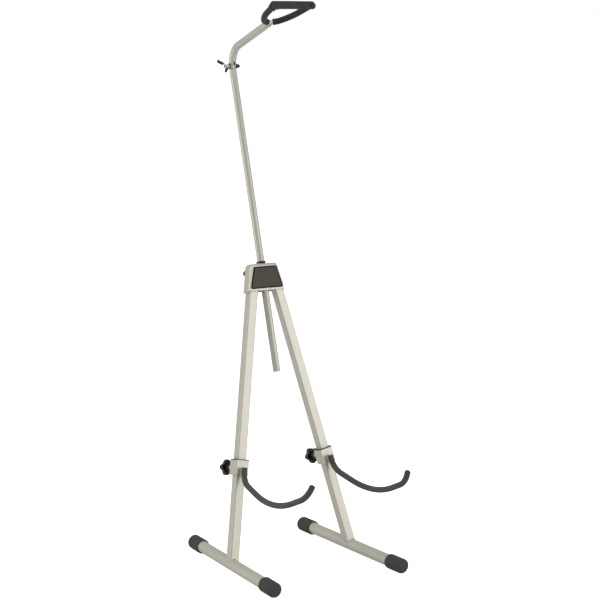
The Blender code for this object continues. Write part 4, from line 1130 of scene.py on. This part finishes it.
for tag, sgn in (("a", 1), ("b", -1)):
    tip_pts = [V((12.0, 0, 8.6)), V((16.4, 0, 12.9)), V((21.6, 0, 16.4)), V((26.6, 0, 19.4))]
    fine = []
    for i in range(25):
        u = i / 24 * 3
        k = min(2, int(u))
        f = u - k
        p0, p1, p2, p3 = tip_pts[max(k - 1, 0)], tip_pts[k], tip_pts[k + 1], tip_pts[min(k + 2, 3)]
        fine.append(0.5 * ((2 * p1) + (p2 - p0) * f + (2 * p0 - 5 * p1 + 4 * p2 - p3) * f * f + (3 * p1 - p0 - 3 * p2 + p3) * f ** 3))
    fine = trim(fine, 0.6, 1.6)
    pts = [NUT @ V((sgn * p.x, p.y, p.z)) for p in fine]
    tip_ob = sweep(f"wing_tip_{tag}_fine", pts, lambda s, t: 3.35 + 0.4 * sin(pi * min(1, s / t)), NUT.to_3x3() @ V((0, 1, 0)), sides=32,
                   ends=(1.5, 2.0), squash=1.15)
    stand_in(tip_ob, f"wing_tip_{tag}")

# ---- neck arm ------------------------------------------------------------------------
line = [(0.0, z) for z in (-NECK_R, -6.0, -3.0, 0.0, 4.0, 8.0, 12.0, 16.0, NECK_LOW)]
k_bend = 30
for k in range(1, k_bend + 1):
    t = NECK_BEND * k / k_bend
    line.append((-NECK_BEND_R * (1 - cos(t)), NECK_LOW + NECK_BEND_R * sin(t)))
turn = V((-sin(NECK_BEND), cos(NECK_BEND)))
bend_end = V(line[-1])
yoke_mid = bend_end + turn * NECK_LONG
neck_end = bend_end + turn * (NECK_LONG - PAD_R - 0.3 - 0.4)
for k in range(1, 13):
    p = bend_end + (neck_end - bend_end) * (k / 12)
    line.append((p.x, p.y))
neck3 = [ARM @ V((0, y, z)) for y, z in line]
bm = bmesh.new()
outer_rows = sweep_rows(neck3, NECK_R, (1, 0, 0), sides=64, ends=(0.0, 0.0))
last_t = (neck3[-1] - neck3[-2]).normalized()
lip = [[neck3[-1] * MM + (q - neck3[-1] * MM) * f + last_t * (dz * MM) for q in outer_rows[-1]] for f, dz in ((0.985, 0.12), (0.95, 0.2))]
inner_rows = sweep_rows(neck3, NECK_R - WALL, (1, 0, 0), sides=64)
add_rings(bm, outer_rows + lip + inner_rows[::-1], close=True)
neck = new_object("neck_arm_tube_fine", bm, 40)
side_m = ARM @ Matrix(((0, 0, 1, 0), (1, 0, 0, 0), (0, 1, 0, 0), (0, 0, 0, 1)))
ear = [(NECK_R + 3, 0.0), (NECK_R + 3, 260.0), (-300.0, 260.0), (-300.0, 0.0)]
ear += [(-NECK_R * cos(pi * k / 32), -NECK_R * sin(pi * k / 32)) for k in range(33)]
bm = bmesh.new()
verts = []
for zz in (-20, 20):
    verts.append([bm.verts.new((side_m @ V((x, y, zz))) * MM) for x, y in ear])
n_ear = len(ear)
for i in range(n_ear):
    bm.faces.new((verts[0][i], verts[0][(i + 1) % n_ear], verts[1][(i + 1) % n_ear], verts[1][i]))
bm.faces.new(verts[0][::-1])
bm.faces.new(verts[1])
boolean(neck, new_object("cutter", bm), "INTERSECT")
boolean(neck, cuboid("cutter", (5.0, 30, 33.5), ARM @ Matrix.Translation(V((0, 0, -3.25)))))
boolean(neck, lathe("cutter", [(0, 30), (BOLT_R + 0.1, 30), (BOLT_R + 0.1, -30), (0, -30)], ARM @ make_frame((0, 0, 0), (0, 1, 0), (1, 0, 0)), 32))
apply(neck, 40)
stand_in(neck, "neck_arm_tube")

# ---- yoke -----------------------------------------------------------------------------
fwd = (ARM.to_3x3() @ V((0, turn.x, turn.y))).normalized()
YOKE = make_frame(ARM @ V((0, yoke_mid.x, yoke_mid.y)), (1, 0, 0), fwd)
PLUG_R = NECK_R - WALL - 0.3
prof = [(0, -YOKE_R - 0.3), (4.2, -YOKE_R - 0.3), (5.4, -YOKE_R - 0.6), (6.2, -YOKE_R - 1.3), (6.4, -YOKE_R - 2.2), (6.4, -PAD_R - 1.2),
        (PLUG_R, -PAD_R - 1.6), (PLUG_R, -26), (0, -26)]
stand_in(lathe("neck_arm_plug_fine", prof, YOKE, 48, angle=50), "neck_arm_plug")
half = [(x, z) for x, z in bends(YOKE_BENDS, 2.5, 5.0)]
half_len = path_length(half)
normal = YOKE.to_3x3() @ V((0, 1, 0))
both = [YOKE @ V((-x, 0, z)) for x, z in reversed(half[1:])] + [YOKE @ V((x, 0, z)) for x, z in half]
bar = sweep("yoke_bar_fine", along(both, 8.4, path_length(both) - 8.4), YOKE_R, normal, sides=32, ends=(0.6, 0.6))
stand_in(bar, "yoke_bar", PAINT)
for tag, sgn in (("left", -1), ("right", 1)):
    line3 = [YOKE @ V((sgn * x, 0, z)) for x, z in half]
    pts = along(line3, PAD_START + 1.4, half_len - 2.5 - 1.4)
    rows = sweep_rows(pts, PAD_R, normal, sides=48, wave=0.2, wave_size=24.0, seed=5.0 + sgn * 2, ends=(1.4, 1.4))
    t0 = (pts[1] - pts[0]).normalized()
    up = t0.cross(normal).normalized()

    def mouth(p, r):
        return [(p + (normal * cos(2 * pi * k / 48) + up * sin(2 * pi * k / 48)) * r) * MM for k in range(48)]

    rows = [mouth(pts[0] + t0 * 5, YOKE_R + 0.3), mouth(pts[0] - t0 * 1.4, YOKE_R + 0.3)] + rows
    bm = bmesh.new()
    add_rings(bm, rows)
    pad = new_object(f"yoke_pad_{tag}_fine", bm, 50)
    stand_in(pad, f"yoke_pad_{tag}", FOAM_TOP)

# strap: one soft band, looped round the left prong and buttoned on the right one
tip_x, tip_z = half[-1]
dir_x, dir_z = (V(half[-1]) - V(half[-2])).normalized()
CUFF = YOKE @ make_frame((-tip_x, 0, tip_z), (0, 1, 0), (-dir_x, 0, dir_z))
sh, st = STRAP_H / 2, STRAP_T / 2
cuff_prof = [(9.8, -2.8)] + [(10.4 - 0.6 + 0.6 * sin(radians(a)), -2.8 - 0.6 + 0.6 * cos(radians(a))) for a in (45, 90)] + \
            [(10.4, -6.0), (10.25, -8.4), (10.4, -10.8), (10.4, -13.4), (9.8, -14), (PAD_R + 0.3, -14), (PAD_R + 0.3, -2.8)]
cuff = lathe("cuff", cuff_prof, CUFF, 64, closed=True)
# the band: a rounded section swept along X, round at both ends, with a pressed border
cols = 72
x0, x1 = -STRAP_END - sh, STRAP_END + sh
rows = []
n = 36
for i in range(cols + 1):
    f = i / cols
    x = x0 + (x1 - x0) * (0.5 - 0.5 * cos(pi * f))
    # half height follows the round ends
    dx = max(0.0, -STRAP_END - x, x - STRAP_END)
    hh = sqrt(max(0.04, sh * sh - dx * dx))
    sect = []
    for k in range(n):
        a = 2 * pi * k / n
        c, s = cos(a), sin(a)
        # superellipse: flat faces, rounded edges
        yy = hh * (abs(c) ** 0.35) * (1 if c >= 0 else -1)
        zz = st * (abs(s) ** 0.30) * (1 if s >= 0 else -1)
        edge = abs(yy) / sh
        if 0.74 < edge < 0.84:
            zz *= 0.86
        zz += 0.35 * cos(pi * x / (2 * STRAP_HALF)) * (1 if abs(x) < STRAP_HALF else 0)
        sect.append((YOKE @ V((x, yy, STRAP_AT + max(-st, min(st, zz))))) * MM)
    rows.append(sect)
bm = bmesh.new()
add_rings(bm, rows)
band = new_object("band", bm, 40)
eye_cut = lathe("cutter", [(0, 12), (3.9, 12), (3.9, -12), (0, -12)], YOKE @ Matrix.Translation(V((STRAP_HALF, 0, STRAP_AT))), 32)
boolean(band, eye_cut)
link_ob = cuboid("link", (3.6, STRAP_H - 2, 8.0), YOKE @ Matrix.Translation(V((STRAP_PIVOT_X - 2.3, 0, STRAP_AT - 4.5))))
bevel(link_ob, 0.8, 3, weighted=False)
strap = joined("strap_fine", [band, cuff, link_ob], 40)
strap.data.materials.clear()
strap.data.materials.append(STRAP)
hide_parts("strap_band", "strap_cuff")
YOKE @ V((STRAP_PIVOT_X - 3, 0, STRAP_AT)) * MM
YOKE @ V((STRAP_PIVOT_X + 5, 0, STRAP_AT)) * MM
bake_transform(strap)
prof = [(0, STRAP_AT + st + 2.6), (1.6, STRAP_AT + st + 2.5), (2.7, STRAP_AT + st + 2.0), (3.4, STRAP_AT + st + 1.1), (3.5, STRAP_AT + st + 0.4),
        (3.5, STRAP_AT - st - 0.3), (6.0, STRAP_AT - st - 0.3), (6.4, STRAP_AT - st - 0.6), (6.4, STRAP_AT - st - 1.1), (0, STRAP_AT - st - 1.1)]
stand_in(lathe("strap_stud_fine", prof, YOKE @ Matrix.Translation(V((STRAP_HALF, 0, 0))), 48, angle=50), "strap_stud")
